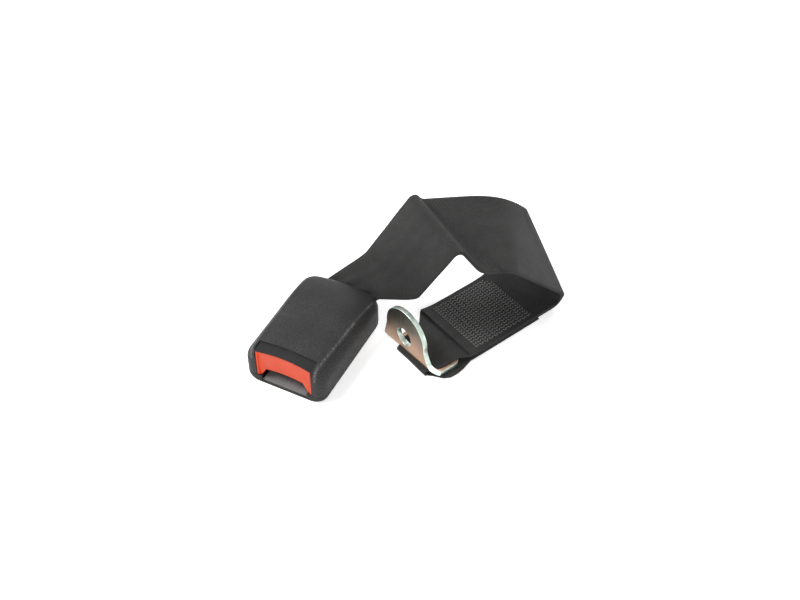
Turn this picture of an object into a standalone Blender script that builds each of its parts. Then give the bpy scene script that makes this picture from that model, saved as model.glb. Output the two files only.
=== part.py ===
"""Rear seat belt buckle on a doubled webbing strap, with its bent anchor plate.

The buckle lies on its flat underside with the mouth towards -Y. The strap
leaves its rear, rises, folds over and comes back along the floor to the
anchor plate. Lengths are in metres, +Z is up.
"""
import math

import bmesh
import bpy
from mathutils import Matrix, Vector

MM = 0.001
CLEAR = 0.3 * MM

# Housing: an upper and a lower moulded cover with one outer form
HOUSING_WIDTH = 50.0 * MM
HOUSING_LENGTH = 78.0 * MM
HOUSING_TAPER = 0.6 * MM
SHOULDER_FRONT = 25.2 * MM
SHOULDER_REAR = 23.6 * MM
CROWN = 2.6 * MM
PLAN_CORNER = 7.5 * MM
LOWER_EDGE = 6.0 * MM
SHOULDER_RADIUS = 3.2 * MM
REAR_ROLL = 6.0 * MM
COVER_WALL = 2.0 * MM
SEAM_FRONT = 5.0 * MM
SEAM_REAR = 3.2 * MM
SEAM_STEP_START = -30.0 * MM
SEAM_STEP_END = -12.0 * MM
LEDGE_LENGTH = 9.0 * MM
LEDGE_DROP = 0.8 * MM
STRAP_MOUTH_WIDTH = 41.0 * MM
STRAP_MOUTH_BOTTOM = 7.0 * MM
STRAP_MOUTH_TOP = 19.5 * MM

# Button in the front opening, and the mouth under it
BUTTON_WIDTH = 36.4 * MM
BUTTON_WALL = 2.0 * MM
BUTTON_FOOT = 5.4 * MM
BUTTON_NOTCH_TOP = 12.2 * MM
BUTTON_NOTCH_FRONT = 29.0 * MM
BUTTON_NOTCH_REAR = 25.0 * MM
BUTTON_DEPTH = 8.5 * MM
BUTTON_SETBACK = 0.4 * MM
BUTTON_HOLLOW = 2.4 * MM
BUTTON_TRAVEL = 5.0 * MM
ARM_WIDTH = 3.6 * MM
ARM_HEIGHT = 3.8 * MM
ARM_LENGTH = 25.0 * MM
MOUTH_LIP = 1.2 * MM
MOUTH_WIDTH = 30.4 * MM
GUIDE_INNER = 22.4 * MM
GUIDE_DEPTH = 14.2 * MM
GUIDE_EDGE = 1.0 * MM

# Steel frame: a channel whose rear end is cranked up into the strap bar
FRAME_WIDTH = 34.6 * MM
FRAME_STEEL = 2.4 * MM
FRAME_BOTTOM = 5.0 * MM
FRAME_WALL_FRONT = -23.0 * MM
FRAME_WALL_REAR = 17.0 * MM
FRAME_WALL_TOP = 18.5 * MM
SPRING_TAB_Y = 14.2 * MM
SPRING_TAB_HEIGHT = 3.8 * MM
SPRING_TAB_WIDTH = 7.0 * MM
CRANK_START = 18.5 * MM
CRANK_RUN = 4.0 * MM
CRANK_RISE = 6.0 * MM
STRAP_SLOT_START = 23.2 * MM
STRAP_SLOT_LENGTH = 5.6 * MM
STRAP_BAR = 4.6 * MM
STRAP_FRAME_WIDTH = 43.0 * MM
STRAP_SLOT_WIDTH = 36.0 * MM
EJECTOR_SLOT_WIDTH = 6.4 * MM

# Latch, ejector, cross bar and springs
AXLE_RADIUS = 1.5 * MM
AXLE_HEAD = 2.2 * MM
AXLE_HEAD_DEPTH = 0.7 * MM
AXLE_Y = 12.0 * MM
AXLE_Z = 14.7 * MM
KNUCKLE_WALL = 1.2 * MM
LATCH_STEEL = 2.4 * MM
LATCH_WIDTH = 22.0 * MM
LATCH_FRONT = -12.0 * MM
LATCH_TOOTH = 3.2 * MM
LATCH_TOOTH_LENGTH = 3.0 * MM
EJECTOR_WIDTH = 15.0 * MM
EJECTOR_LENGTH = 8.0 * MM
EJECTOR_HEIGHT = 2.4 * MM
EJECTOR_FRONT = -13.0 * MM
EJECTOR_TRAVEL = 9.0 * MM
EJECTOR_KEEL = 1.6 * MM
CROSS_BAR_RADIUS = 1.1 * MM
CROSS_BAR_Y = -10.5 * MM
SPRING_WIRE = 0.7 * MM
BUTTON_SPRING_RADIUS = 1.3 * MM
EJECTOR_SPRING_RADIUS = 1.0 * MM
LATCH_SPRING_RADIUS = 2.4 * MM
SPRING_TURN = 1.6 * MM
BRIDGE_DEPTH = 3.0 * MM
BRIDGE_Y = 5.0 * MM
BRIDGE_LEG = 1.6 * MM
BRIDGE_DROP = 6.0 * MM
RIVET_RADIUS = 0.9 * MM
RIVET_HEAD = 1.3 * MM
SCREW_HEAD = 1.5 * MM
SCREW_HEAD_HEIGHT = 0.8 * MM
SCREW_SINK = 0.9 * MM
SCREW_SHANK = 0.9 * MM
SCREW_LENGTH = 8.0 * MM
BOSS_RADIUS = 1.9 * MM
BOSS_X = 20.3 * MM
BOSS_YS = (-15.0 * MM, 18.0 * MM)

# Webbing
STRAP_WIDTH = 47.0 * MM
STRAP_THICK = 1.2 * MM
STRAP_PLY = 1.4 * MM
BUCKLE_NECK = 34.0 * MM
STRAND_SPREAD = 3.9 * MM
STRAP_EXIT_HEIGHT = 13.0 * MM
STEP_CENTRE = (66.7 * MM, 41.0 * MM)
TAIL_HEADING = 65.0
SEWN_LENGTH = 56.0 * MM
FOLDS = 6

# Each bend of the strap: where it crosses the near and the far edge, how far it
# spreads along each, in mm from the upper strand's cut end, and its angle
BENDS = (
    (73, 66, 9, 60, 92),
    (82, 115, 10, 15, 60),
    (144, 150, 12, 56, 52),
    (160, 194, 20, 6, -72),
    (188, 200, 11, 7, 132),
)
STRAP_FOOT = (238, 262)

# Anchor plate, measured along the tail from the upper strand's cut end
PLATE_STEEL = 4.0 * MM
PLATE_FACE = -27.5 * MM
PLATE_BEND = 12.0 * MM
PLATE_FOOT = 20.0 * MM
PLATE_LIFT = 1.6 * MM
PLATE_BAR = 6.2 * MM
SLOT_TOP_ANGLE = 46.0
ANCHOR_NECK = 34.0 * MM
ANCHOR_SLOT = 37.4 * MM
EYE_HEIGHT = 20.0 * MM
EYE_RADIUS = 18.5 * MM
EYE_HOLE = 12.5 * MM
EYE_OFFSET = 7.7 * MM
PLATE_NEAR = 28.5 * MM
PLATE_FAR = 20.5 * MM
PLATE_CORNER = 5.0 * MM

PART = "seat_belt_buckle"


def collection(name):
    group = bpy.data.collections.new(name)
    bpy.context.scene.collection.children.link(group)
    return group


def material(name, colour, roughness, metallic=0.0):
    made = bpy.data.materials.new(name)
    made.use_nodes = True
    shader = made.node_tree.nodes["Principled BSDF"]
    shader.inputs["Base Color"].default_value = (*colour, 1.0)
    shader.inputs["Roughness"].default_value = roughness
    shader.inputs["Metallic"].default_value = metallic
    return made


def new_object(name, bm, group, finish=None, smooth=False):
    """An object from a bmesh, its faces pointing out."""
    bmesh.ops.recalc_face_normals(bm, faces=bm.faces)
    if bm.calc_volume(signed=True) < 0:
        bmesh.ops.reverse_faces(bm, faces=bm.faces)
    mesh = bpy.data.meshes.new(name)
    bm.to_mesh(mesh)
    bm.free()
    made = bpy.data.objects.new(name, mesh)
    group.objects.link(made)
    if finish:
        mesh.materials.append(finish)
    if smooth:
        mesh.shade_smooth()
        mesh.set_sharp_from_angle(angle=math.radians(35))
    return made


def cutter(name, bm):
    made = new_object(name, bm, CUTTERS)
    made.hide_render = True
    made.display_type = "WIRE"
    return made


def box(low, high):
    bm = bmesh.new()
    low, high = Vector(low), Vector(high)
    size = high - low
    place = Matrix.Translation((low + high) / 2) @ Matrix.Diagonal((*size, 1.0))
    bmesh.ops.create_cube(bm, size=1.0, matrix=place)
    return bm


def rod(radius, start, end, sides=20):
    """A closed cylinder between two points."""
    bm = bmesh.new()
    start, end = Vector(start), Vector(end)
    along = end - start
    turn = along.to_track_quat("Z", "Y").to_matrix().to_4x4()
    place = Matrix.Translation((start + end) / 2) @ turn
    bmesh.ops.create_cone(bm, cap_ends=True, segments=sides, radius1=radius, radius2=radius,
                          depth=along.length, matrix=place)
    return bm


def prism(outlines, low, high, axis="X"):
    """Flat outlines filled and extruded from low to high along an axis.

    The outline's two numbers are Y and Z for axis X, X and Z for axis Y, and
    X and Y for axis Z. A second outline inside the first is a hole.
    """
    turns = {"X": Matrix(((0, 0, 1, 0), (1, 0, 0, 0), (0, 1, 0, 0), (0, 0, 0, 1))),
             "Y": Matrix(((1, 0, 0, 0), (0, 0, -1, 0), (0, 1, 0, 0), (0, 0, 0, 1))),
             "Z": Matrix.Identity(4)}
    curve = bpy.data.curves.new("outline", "CURVE")
    curve.dimensions = "2D"
    curve.fill_mode = "BOTH"
    curve.extrude = (high - low) / 2
    for points in outlines:
        spline = curve.splines.new("POLY")
        spline.points.add(len(points) - 1)
        spline.use_cyclic_u = True
        for at, point in zip(spline.points, points):
            at.co = (point[0], point[1], 0.0, 1.0)
    flat = bpy.data.objects.new("outline", curve)
    bpy.context.scene.collection.objects.link(flat)
    bpy.context.view_layer.update()
    mesh = bpy.data.meshes.new_from_object(flat.evaluated_get(bpy.context.evaluated_depsgraph_get()))
    bm = bmesh.new()
    bm.from_mesh(mesh)
    bpy.data.objects.remove(flat)
    bpy.data.meshes.remove(mesh)
    bmesh.ops.remove_doubles(bm, verts=bm.verts, dist=0.001 * MM)
    middle = (high + low) / 2
    shift = Matrix.Translation((0, 0, -middle if axis == "Y" else middle))
    bm.transform(turns[axis] @ shift)
    return bm


def boolean(target, tool, operation="DIFFERENCE"):
    step = target.modifiers.new(operation.lower(), "BOOLEAN")
    step.operation = operation
    step.object = tool
    step.solver = "EXACT"
    return step


def bevel(target, width, segments=2, angle=40.0):
    step = target.modifiers.new("bevel", "BEVEL")
    step.width = width
    step.segments = segments
    step.limit_method = "ANGLE"
    step.angle_limit = math.radians(angle)
    return step


def arc(centre, radius, start, end, steps):
    """Points on an arc, its angles in degrees."""
    points = []
    for i in range(steps + 1):
        angle = math.radians(start + (end - start) * i / steps)
        points.append((centre[0] + radius * math.cos(angle), centre[1] + radius * math.sin(angle)))
    return points


# Housing form

def housing_half_width(y, inset):
    """Half the housing's width at y, on a surface that lies inset below the skin."""
    reach = HOUSING_LENGTH / 2 - inset - abs(y)
    corner = PLAN_CORNER - inset
    half = HOUSING_WIDTH / 2 - inset - HOUSING_TAPER * (y / HOUSING_LENGTH + 0.5)
    if reach < corner:
        half -= corner - math.sqrt(max(corner ** 2 - (corner - reach) ** 2, 0.0))
    return half


def housing_top(y, inset):
    """Height of the shoulders at y, rolled off towards the rear end."""
    share = y / HOUSING_LENGTH + 0.5
    height = SHOULDER_FRONT + (SHOULDER_REAR - SHOULDER_FRONT) * share - inset
    reach = HOUSING_LENGTH / 2 - inset - y
    roll = REAR_ROLL - inset
    if reach < roll:
        height -= roll - math.sqrt(max(roll ** 2 - (roll - reach) ** 2, 0.0))
    return height


def housing_section(y, inset):
    """Closed outline of the housing at y, from the bottom round to the left."""
    half = housing_half_width(y, inset)
    top = housing_top(y, inset)
    low = max(LOWER_EDGE - inset, 1.0 * MM)
    shoulder = max(SHOULDER_RADIUS - inset, 0.8 * MM)
    side = [(half - low, inset)]
    side += arc((half - low, inset + low), low, -75, 0, 5)
    side += arc((half - shoulder, top - shoulder), shoulder, 0, 70, 4)
    rim = side[-1][0]
    crown = [(rim * (1 - k / 5), side[-1][1] + CROWN * (1 - (1 - k / 5) ** 2)) for k in range(1, 6)]
    right = side + crown
    left = [(-x, z) for x, z in reversed(right[:-1])]
    return [Vector((x, y, z)) for x, z in right + left]


def housing_solid(inset):
    """The housing's outer form, or the same form shrunk by inset, as a loft."""
    end = HOUSING_LENGTH / 2 - inset
    corner = PLAN_CORNER - inset
    turns = [corner * (1 - math.cos(math.radians(15 * k))) for k in range(7)]
    straight = 8
    run = 2 * (end - corner)
    ys = [-end + turn for turn in turns]
    ys += [-end + corner + run * k / straight for k in range(1, straight)]
    ys += [end - turn for turn in reversed(turns)]
    bm = bmesh.new()
    rings = [[bm.verts.new(point) for point in housing_section(y, inset)] for y in ys]
    for ring, following in zip(rings, rings[1:]):
        for i in range(len(ring)):
            j = (i + 1) % len(ring)
            bm.faces.new((ring[i], ring[j], following[j], following[i]))
    bm.faces.new(rings[0])
    bm.faces.new(rings[-1])
    return bm


def seam_outline(side):
    """Region above (side +1) or below (side -1) the parting line and half its gap, in Y and Z."""
    far = HOUSING_LENGTH
    gap = -side * CLEAR / 2
    line = [(-far, SEAM_FRONT + gap), (SEAM_STEP_START, SEAM_FRONT + gap),
            (SEAM_STEP_END, SEAM_REAR + gap), (far, SEAM_REAR + gap)]
    edge = side * far
    return line + [(far, edge), (-far, edge)]


def crown_height(x, y):
    """Height of the housing's crowned top between its shoulders."""
    turn = math.radians(70)
    rim = housing_half_width(y, 0.0) - SHOULDER_RADIUS * (1 - math.cos(turn))
    rim_height = housing_top(y, 0.0) - SHOULDER_RADIUS * (1 - math.sin(turn))
    return rim_height + CROWN * (1 - (x / rim) ** 2)


def front_block(half, low, y, drop, front, rear):
    """A block across the front whose top follows the crown at y, less drop."""
    top = [(half * (1 - k / 6), crown_height(half * (1 - k / 6), y) - drop) for k in range(13)]
    return prism([[(-half, low), (half, low)] + top], front, rear, axis="Y")


def button_face_cylinder():
    """A wide upright cylinder in front of the buckle that hollows the button's face."""
    half = BUTTON_WIDTH / 2
    radius = (half ** 2 + BUTTON_HOLLOW ** 2) / (2 * BUTTON_HOLLOW)
    rim = -HOUSING_LENGTH / 2 + BUTTON_SETBACK
    centre = rim + BUTTON_HOLLOW - radius
    return rod(radius, (0, centre, -5 * MM), (0, centre, SHOULDER_FRONT + 10 * MM), sides=160)


def notch_prism():
    """The tongue's way under the button: wide at the front, narrower inside."""
    front = -HOUSING_LENGTH / 2
    outer = BUTTON_NOTCH_FRONT / 2
    inner = BUTTON_NOTCH_REAR / 2
    rear = front + BUTTON_SETBACK + BUTTON_DEPTH + 1 * MM
    points = [(-outer, front - 1 * MM), (outer, front - 1 * MM), (inner, rear), (-inner, rear)]
    return prism([points], -1 * MM, BUTTON_NOTCH_TOP, axis="Z")


def build_covers():
    plastic = material("cover_plastic", (0.045, 0.044, 0.043), 0.55)
    inner = cutter("housing_hollow", housing_solid(COVER_WALL))
    end = HOUSING_LENGTH / 2
    upper = new_object("upper_cover", housing_solid(0.0), PARTS, plastic, smooth=True)
    lower = new_object("lower_cover", housing_solid(0.0), PARTS, plastic, smooth=True)
    for cover in (upper, lower):
        boolean(cover, inner)
    for y in BOSS_YS:
        for side in (-1, 1):
            place = (side * BOSS_X, y)
            post = cutter("boss", rod(BOSS_RADIUS, (*place, COVER_WALL - CLEAR), (*place, SHOULDER_REAR - 1 * MM)))
            shank = cutter("shank_hole", rod(SCREW_SHANK + CLEAR, (*place, 0), (*place, SCREW_LENGTH + CLEAR)))
            for cover in (upper, lower):
                boolean(cover, post, "UNION")
                boolean(cover, shank)
            seat = SCREW_SINK + SCREW_HEAD_HEIGHT + CLEAR
            boolean(lower, cutter("head_seat", rod(SCREW_HEAD + CLEAR, (*place, -1 * MM), (*place, seat))))
    boolean(upper, cutter("below_seam", prism([seam_outline(-1)], -end, end)))
    boolean(lower, cutter("above_seam", prism([seam_outline(1)], -end, end)))

    # The top steps down over the button, which shows through the front
    half = BUTTON_WIDTH / 2
    sunk = cutter("ledge", box((-half - 1 * MM, -end - 1 * MM, SHOULDER_FRONT - COVER_WALL),
                               (half + 1 * MM, -end + LEDGE_LENGTH, SHOULDER_FRONT + 2 * CROWN)))
    kept = front_block(half + 2 * MM, 0.0, -end + PLAN_CORNER, LEDGE_DROP, -end - 2 * MM, 0.0)
    boolean(sunk, cutter("under_ledge", kept))
    boolean(upper, sunk)
    opening = front_block(half + CLEAR, SEAM_FRONT - 1 * MM, -end + PLAN_CORNER, COVER_WALL,
                          -end - 2 * MM, -end + BUTTON_DEPTH)
    boolean(upper, cutter("button_opening", opening))
    boolean(upper, cutter("front_hollow", button_face_cylinder()))

    strap_mouth = box((-STRAP_MOUTH_WIDTH / 2, end - REAR_ROLL, STRAP_MOUTH_BOTTOM),
                      (STRAP_MOUTH_WIDTH / 2, end + 5 * MM, STRAP_MOUTH_TOP))
    rear_cut = cutter("strap_mouth", strap_mouth)
    bevel(rear_cut, 2.0 * MM, 3)
    boolean(upper, rear_cut)

    mouth = box((-MOUTH_WIDTH / 2, -end - 5 * MM, MOUTH_LIP),
                (MOUTH_WIDTH / 2, -end + GUIDE_DEPTH - COVER_WALL, SEAM_FRONT + 1 * MM))
    boolean(lower, cutter("mouth_cut", mouth))
    pad_half = FRAME_WIDTH / 2 - 2 * MM
    for y in (FRAME_WALL_FRONT, FRAME_WALL_REAR):
        pad = box((-pad_half, y - 1 * MM, COVER_WALL / 2), (pad_half, y + 1 * MM, FRAME_BOTTOM - CLEAR))
        boolean(lower, cutter("pad", pad), "UNION")


def build_screws():
    steel = material("screw_steel", (0.35, 0.35, 0.36), 0.35, 1.0)
    names = iter(("front_left", "front_right", "rear_left", "rear_right"))
    for y in BOSS_YS:
        for side in (-1, 1):
            place = (side * BOSS_X, y)
            middle = SCREW_SINK + SCREW_HEAD_HEIGHT / 2
            head = rod(SCREW_HEAD, (*place, SCREW_SINK), (*place, SCREW_SINK + SCREW_HEAD_HEIGHT))
            shank = rod(SCREW_SHANK, (*place, middle), (*place, SCREW_LENGTH), sides=12)
            screw = new_object("screw_" + next(names), head, PARTS, steel)
            boolean(screw, cutter("shank", shank), "UNION")
            slot = box((side * BOSS_X - SCREW_HEAD, y - CLEAR, 0), (side * BOSS_X + SCREW_HEAD, y + CLEAR, middle))
            boolean(screw, cutter("screw_slot", slot))


def build_button():
    red = material("button_red", (0.63, 0.127, 0.07), 0.4)
    front = -HOUSING_LENGTH / 2 + BUTTON_SETBACK
    rear = front + BUTTON_DEPTH
    # Its top clears the cover's underside when it is pressed right in
    cap = front_block(BUTTON_WIDTH / 2, BUTTON_FOOT, rear + BUTTON_TRAVEL, COVER_WALL + CLEAR, front, rear)
    button = new_object("release_button", cap, PARTS, red)
    boolean(button, cutter("face", button_face_cylinder()))
    boolean(button, cutter("notch", notch_prism()))
    half = BUTTON_WIDTH / 2 - BUTTON_WALL
    hollow = box((-half, front + BUTTON_HOLLOW + BUTTON_WALL, 0),
                 (half, rear + 1 * MM, SHOULDER_FRONT - COVER_WALL - BUTTON_WALL - CLEAR))
    boolean(button, cutter("cap_hollow", hollow))
    low = FRAME_WALL_TOP + CLEAR
    for side in (-1, 1):
        outer = side * (BUTTON_WIDTH / 2 - CLEAR)
        inner = side * (BUTTON_WIDTH / 2 - CLEAR - ARM_WIDTH)
        arm = box((min(outer, inner), rear - BUTTON_DEPTH / 2, low),
                  (max(outer, inner), rear + ARM_LENGTH, low + ARM_HEIGHT))
        boolean(button, cutter("arm", arm), "UNION")
    reach = BUTTON_WIDTH / 2 - 2 * CLEAR
    height = low + ARM_HEIGHT / 2
    bore = rod(CROSS_BAR_RADIUS + CLEAR, (-BUTTON_WIDTH, CROSS_BAR_Y, height), (BUTTON_WIDTH, CROSS_BAR_Y, height))
    boolean(button, cutter("cross_bore", bore))
    steel = material("cross_steel", (0.4, 0.4, 0.38), 0.4, 1.0)
    new_object("cross_bar", rod(CROSS_BAR_RADIUS, (-reach, CROSS_BAR_Y, height), (reach, CROSS_BAR_Y, height)),
               PARTS, steel, smooth=True)


def build_frame():
    steel = material("frame_steel", (0.42, 0.41, 0.38), 0.35, 1.0)
    low, thick = FRAME_BOTTOM, FRAME_STEEL
    bar_end = STRAP_SLOT_START + STRAP_SLOT_LENGTH + STRAP_BAR
    crank_end = CRANK_START + CRANK_RUN
    front = -HOUSING_LENGTH / 2 + GUIDE_DEPTH + CLEAR
    profile = [(front, low), (CRANK_START, low), (crank_end, low + CRANK_RISE), (bar_end, low + CRANK_RISE),
               (bar_end, low + CRANK_RISE + thick), (crank_end - thick / 2, low + CRANK_RISE + thick),
               (CRANK_START - thick / 2, low + thick), (front, low + thick)]
    frame = new_object("frame", prism([profile], -FRAME_WIDTH / 2, FRAME_WIDTH / 2), PARTS, steel)
    wide = box((-STRAP_FRAME_WIDTH / 2, crank_end, low + CRANK_RISE),
               (STRAP_FRAME_WIDTH / 2, bar_end, low + CRANK_RISE + thick))
    boolean(frame, cutter("strap_end", wide), "UNION")
    for side in (-1, 1):
        outer, inner = side * FRAME_WIDTH / 2, side * (FRAME_WIDTH / 2 - thick)
        wall = box((min(outer, inner), FRAME_WALL_FRONT, low + thick / 2),
                   (max(outer, inner), FRAME_WALL_REAR, FRAME_WALL_TOP))
        boolean(frame, cutter("wall", wall), "UNION")
    slot_half = STRAP_SLOT_WIDTH / 2
    slot = box((-slot_half, STRAP_SLOT_START, 0), (slot_half, STRAP_SLOT_START + STRAP_SLOT_LENGTH, FRAME_WALL_TOP))
    boolean(frame, cutter("strap_slot", slot))
    tab_half = SPRING_TAB_WIDTH / 2
    tab = box((-tab_half, SPRING_TAB_Y, low + thick / 2), (tab_half, SPRING_TAB_Y + thick, low + thick + SPRING_TAB_HEIGHT))
    boolean(frame, cutter("spring_tab", tab), "UNION")
    keel_rear = EJECTOR_FRONT + EJECTOR_LENGTH + EJECTOR_TRAVEL
    ejector_slot = box((-EJECTOR_SLOT_WIDTH / 2, EJECTOR_FRONT, 0), (EJECTOR_SLOT_WIDTH / 2, keel_rear, low + 2 * thick))
    boolean(frame, cutter("ejector_slot", ejector_slot))
    axle_hole = rod(AXLE_RADIUS + CLEAR, (-FRAME_WIDTH, AXLE_Y, AXLE_Z), (FRAME_WIDTH, AXLE_Y, AXLE_Z))
    boolean(frame, cutter("axle_hole", axle_hole))
    y, z = rivet_place()
    boolean(frame, cutter("rivet_hole", rod(RIVET_RADIUS + CLEAR, (-FRAME_WIDTH, y, z), (FRAME_WIDTH, y, z))))
    bevel(frame, 0.35 * MM, 1, 50)


def build_guide():
    """The ramp behind the mouth that leads the tongue up onto the frame."""
    grey = material("guide_plastic", (0.16, 0.155, 0.155), 0.45)
    end = HOUSING_LENGTH / 2
    front, rear = -end + 2 * CLEAR, -end + GUIDE_DEPTH
    lip = MOUTH_LIP + CLEAR
    floor = COVER_WALL + CLEAR
    top = FRAME_BOTTOM + FRAME_STEEL - CLEAR / 2
    profile = [(front, lip), (front + 2 * GUIDE_EDGE, lip), (front + 2 * GUIDE_EDGE, floor), (rear, floor),
               (rear, top), (front, lip + GUIDE_EDGE)]
    half = MOUTH_WIDTH / 2 - CLEAR
    guide = new_object("tongue_guide", prism([profile], -half, half), PARTS, grey)
    inner = GUIDE_INNER / 2
    plan = [(-half, front), (half, front), (inner, rear), (-inner, rear)]
    boolean(guide, cutter("guide_plan", prism([plan], 0.0, 2 * top, axis="Z")), "INTERSECT")


def build_latch():
    steel = material("latch_steel", (0.36, 0.35, 0.34), 0.4, 1.0)
    half = LATCH_WIDTH / 2
    low, high = AXLE_Z - LATCH_STEEL / 2, AXLE_Z + LATCH_STEEL / 2
    knuckle = AXLE_RADIUS + CLEAR + KNUCKLE_WALL
    tooth, heel = high - LATCH_STEEL / 2 - LATCH_TOOTH, LATCH_FRONT + LATCH_TOOTH_LENGTH
    root = AXLE_Y - AXLE_RADIUS
    profile = [(root, low), (heel + LATCH_STEEL / 2, low), (heel, tooth), (LATCH_FRONT, tooth),
               (LATCH_FRONT, AXLE_Z), (LATCH_FRONT + LATCH_STEEL / 2, high), (root, high)]
    latch = new_object("latch", prism([profile], -half, half), PARTS, steel)
    boolean(latch, cutter("knuckle", rod(knuckle, (-half, AXLE_Y, AXLE_Z), (half, AXLE_Y, AXLE_Z))), "UNION")
    bore = rod(AXLE_RADIUS + CLEAR, (-FRAME_WIDTH, AXLE_Y, AXLE_Z), (FRAME_WIDTH, AXLE_Y, AXLE_Z))
    boolean(latch, cutter("knuckle_bore", bore))
    wall = FRAME_WIDTH / 2 + CLEAR
    reach = wall + AXLE_HEAD_DEPTH / 2
    axle = new_object("latch_axle", rod(AXLE_RADIUS, (-reach, AXLE_Y, AXLE_Z), (reach, AXLE_Y, AXLE_Z)),
                      PARTS, steel, smooth=True)
    for side in (-1, 1):
        head = rod(AXLE_HEAD, (side * wall, AXLE_Y, AXLE_Z), (side * (wall + AXLE_HEAD_DEPTH), AXLE_Y, AXLE_Z))
        boolean(axle, cutter("axle_head", head), "UNION")


def build_ejector():
    dark = material("ejector_plastic", (0.03, 0.03, 0.032), 0.5)
    base = FRAME_BOTTOM + FRAME_STEEL + CLEAR
    front, rear = EJECTOR_FRONT, EJECTOR_FRONT + EJECTOR_LENGTH
    half = EJECTOR_WIDTH / 2
    body = box((-half, front, base), (half, rear, base + EJECTOR_HEIGHT))
    ejector = new_object("ejector", body, PARTS, dark)
    keel_half = EJECTOR_SLOT_WIDTH / 2 - CLEAR
    keel = box((-keel_half, front + CLEAR, FRAME_BOTTOM - EJECTOR_KEEL),
               (keel_half, rear - CLEAR, base + EJECTOR_HEIGHT / 2))
    boolean(ejector, cutter("keel", keel), "UNION")
    bevel(ejector, 0.4 * MM, 1)


def coil(name, start, end, radius, wire, finish):
    """A coil spring between two points, its closed wire a swept tube."""
    start, end = Vector(start), Vector(end)
    along = end - start
    turns = max(3, round(along.length / SPRING_TURN))
    steps = 10
    frame = along.to_track_quat("Z", "Y").to_matrix()
    curve = bpy.data.curves.new(name, "CURVE")
    curve.dimensions = "3D"
    curve.bevel_depth = wire / 2
    curve.bevel_resolution = 1
    curve.use_fill_caps = True
    spline = curve.splines.new("POLY")
    count = turns * steps
    spline.points.add(count)
    for i, point in enumerate(spline.points):
        angle = 2 * math.pi * i / steps
        rise = wire / 2 + (along.length - wire) * i / count
        local = Vector((radius * math.cos(angle), radius * math.sin(angle), rise))
        point.co = (*(start + frame @ local), 1.0)
    made = bpy.data.objects.new(name, curve)
    PARTS.objects.link(made)
    curve.materials.append(finish)
    return made


def build_springs():
    wire = material("spring_wire", (0.5, 0.5, 0.5), 0.3, 1.0)
    arm_end = -HOUSING_LENGTH / 2 + BUTTON_SETBACK + BUTTON_DEPTH + ARM_LENGTH
    arm_mid = FRAME_WALL_TOP + CLEAR + ARM_HEIGHT / 2
    arm_x = BUTTON_WIDTH / 2 - CLEAR - ARM_WIDTH / 2
    for side, name in ((-1, "button_spring_left"), (1, "button_spring_right")):
        coil(name, (side * arm_x, arm_end + CLEAR, arm_mid), (side * arm_x, BRIDGE_Y - CLEAR, arm_mid),
             BUTTON_SPRING_RADIUS, SPRING_WIRE, wire)
    ejector_rear = EJECTOR_FRONT + EJECTOR_LENGTH
    height = FRAME_BOTTOM + FRAME_STEEL + CLEAR + EJECTOR_SPRING_RADIUS + SPRING_WIRE / 2
    coil("ejector_spring", (0, ejector_rear + CLEAR, height), (0, SPRING_TAB_Y - CLEAR, height),
         EJECTOR_SPRING_RADIUS, SPRING_WIRE, wire)
    latch_side = LATCH_WIDTH / 2 + CLEAR
    wall = FRAME_WIDTH / 2 - FRAME_STEEL - CLEAR
    coil("latch_spring", (latch_side, AXLE_Y, AXLE_Z), (wall, AXLE_Y, AXLE_Z), LATCH_SPRING_RADIUS, SPRING_WIRE, wire)


def rivet_place():
    """Where the bridge's rivets pass through the frame's walls, in Y and Z."""
    return BRIDGE_Y + BRIDGE_DEPTH / 2, FRAME_WALL_TOP - BRIDGE_DROP / 2


def build_bridge():
    """The spring bridge over the frame's walls, held by a rivet through each leg."""
    steel = material("bridge_steel", (0.4, 0.4, 0.38), 0.4, 1.0)
    inner = FRAME_WIDTH / 2 + CLEAR
    outer = inner + BRIDGE_LEG
    low, high = FRAME_WALL_TOP + CLEAR, FRAME_WALL_TOP + CLEAR + ARM_HEIGHT
    foot = FRAME_WALL_TOP - BRIDGE_DROP
    shape = [(-outer, foot), (-inner, foot), (-inner, low), (inner, low), (inner, foot), (outer, foot),
             (outer, high), (-outer, high)]
    bridge = new_object("spring_bridge", prism([shape], BRIDGE_Y, BRIDGE_Y + BRIDGE_DEPTH, axis="Y"), PARTS, steel)
    y, z = rivet_place()
    boolean(bridge, cutter("leg_hole", rod(RIVET_RADIUS + CLEAR, (-2 * outer, y, z), (2 * outer, y, z))))
    for side, name in ((-1, "bridge_rivet_left"), (1, "bridge_rivet_right")):
        shank = rod(RIVET_RADIUS, (side * (inner - FRAME_STEEL), y, z), (side * (outer + 2 * CLEAR), y, z), sides=12)
        rivet = new_object(name, shank, PARTS, steel, smooth=True)
        head = rod(RIVET_HEAD, (side * (outer + CLEAR), y, z), (side * (outer + 3 * CLEAR), y, z))
        boolean(rivet, cutter("rivet_head", head), "UNION")


# Strap

def tail_frame():
    """Frame on the floor at the upper strand's cut end: along the tail, near edge to far edge, up."""
    heading = math.radians(TAIL_HEADING)
    along = Vector((math.cos(heading), math.sin(heading), 0.0))
    across = Vector((-along.y, along.x, 0.0))
    near_corner = Vector((*STEP_CENTRE, 0.0)) - across * STRAP_WIDTH / 2
    return Matrix(((along.x, across.x, 0, near_corner.x), (along.y, across.y, 0, near_corner.y),
                   (0, 0, 1, 0), (0, 0, 0, 1)))


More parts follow.
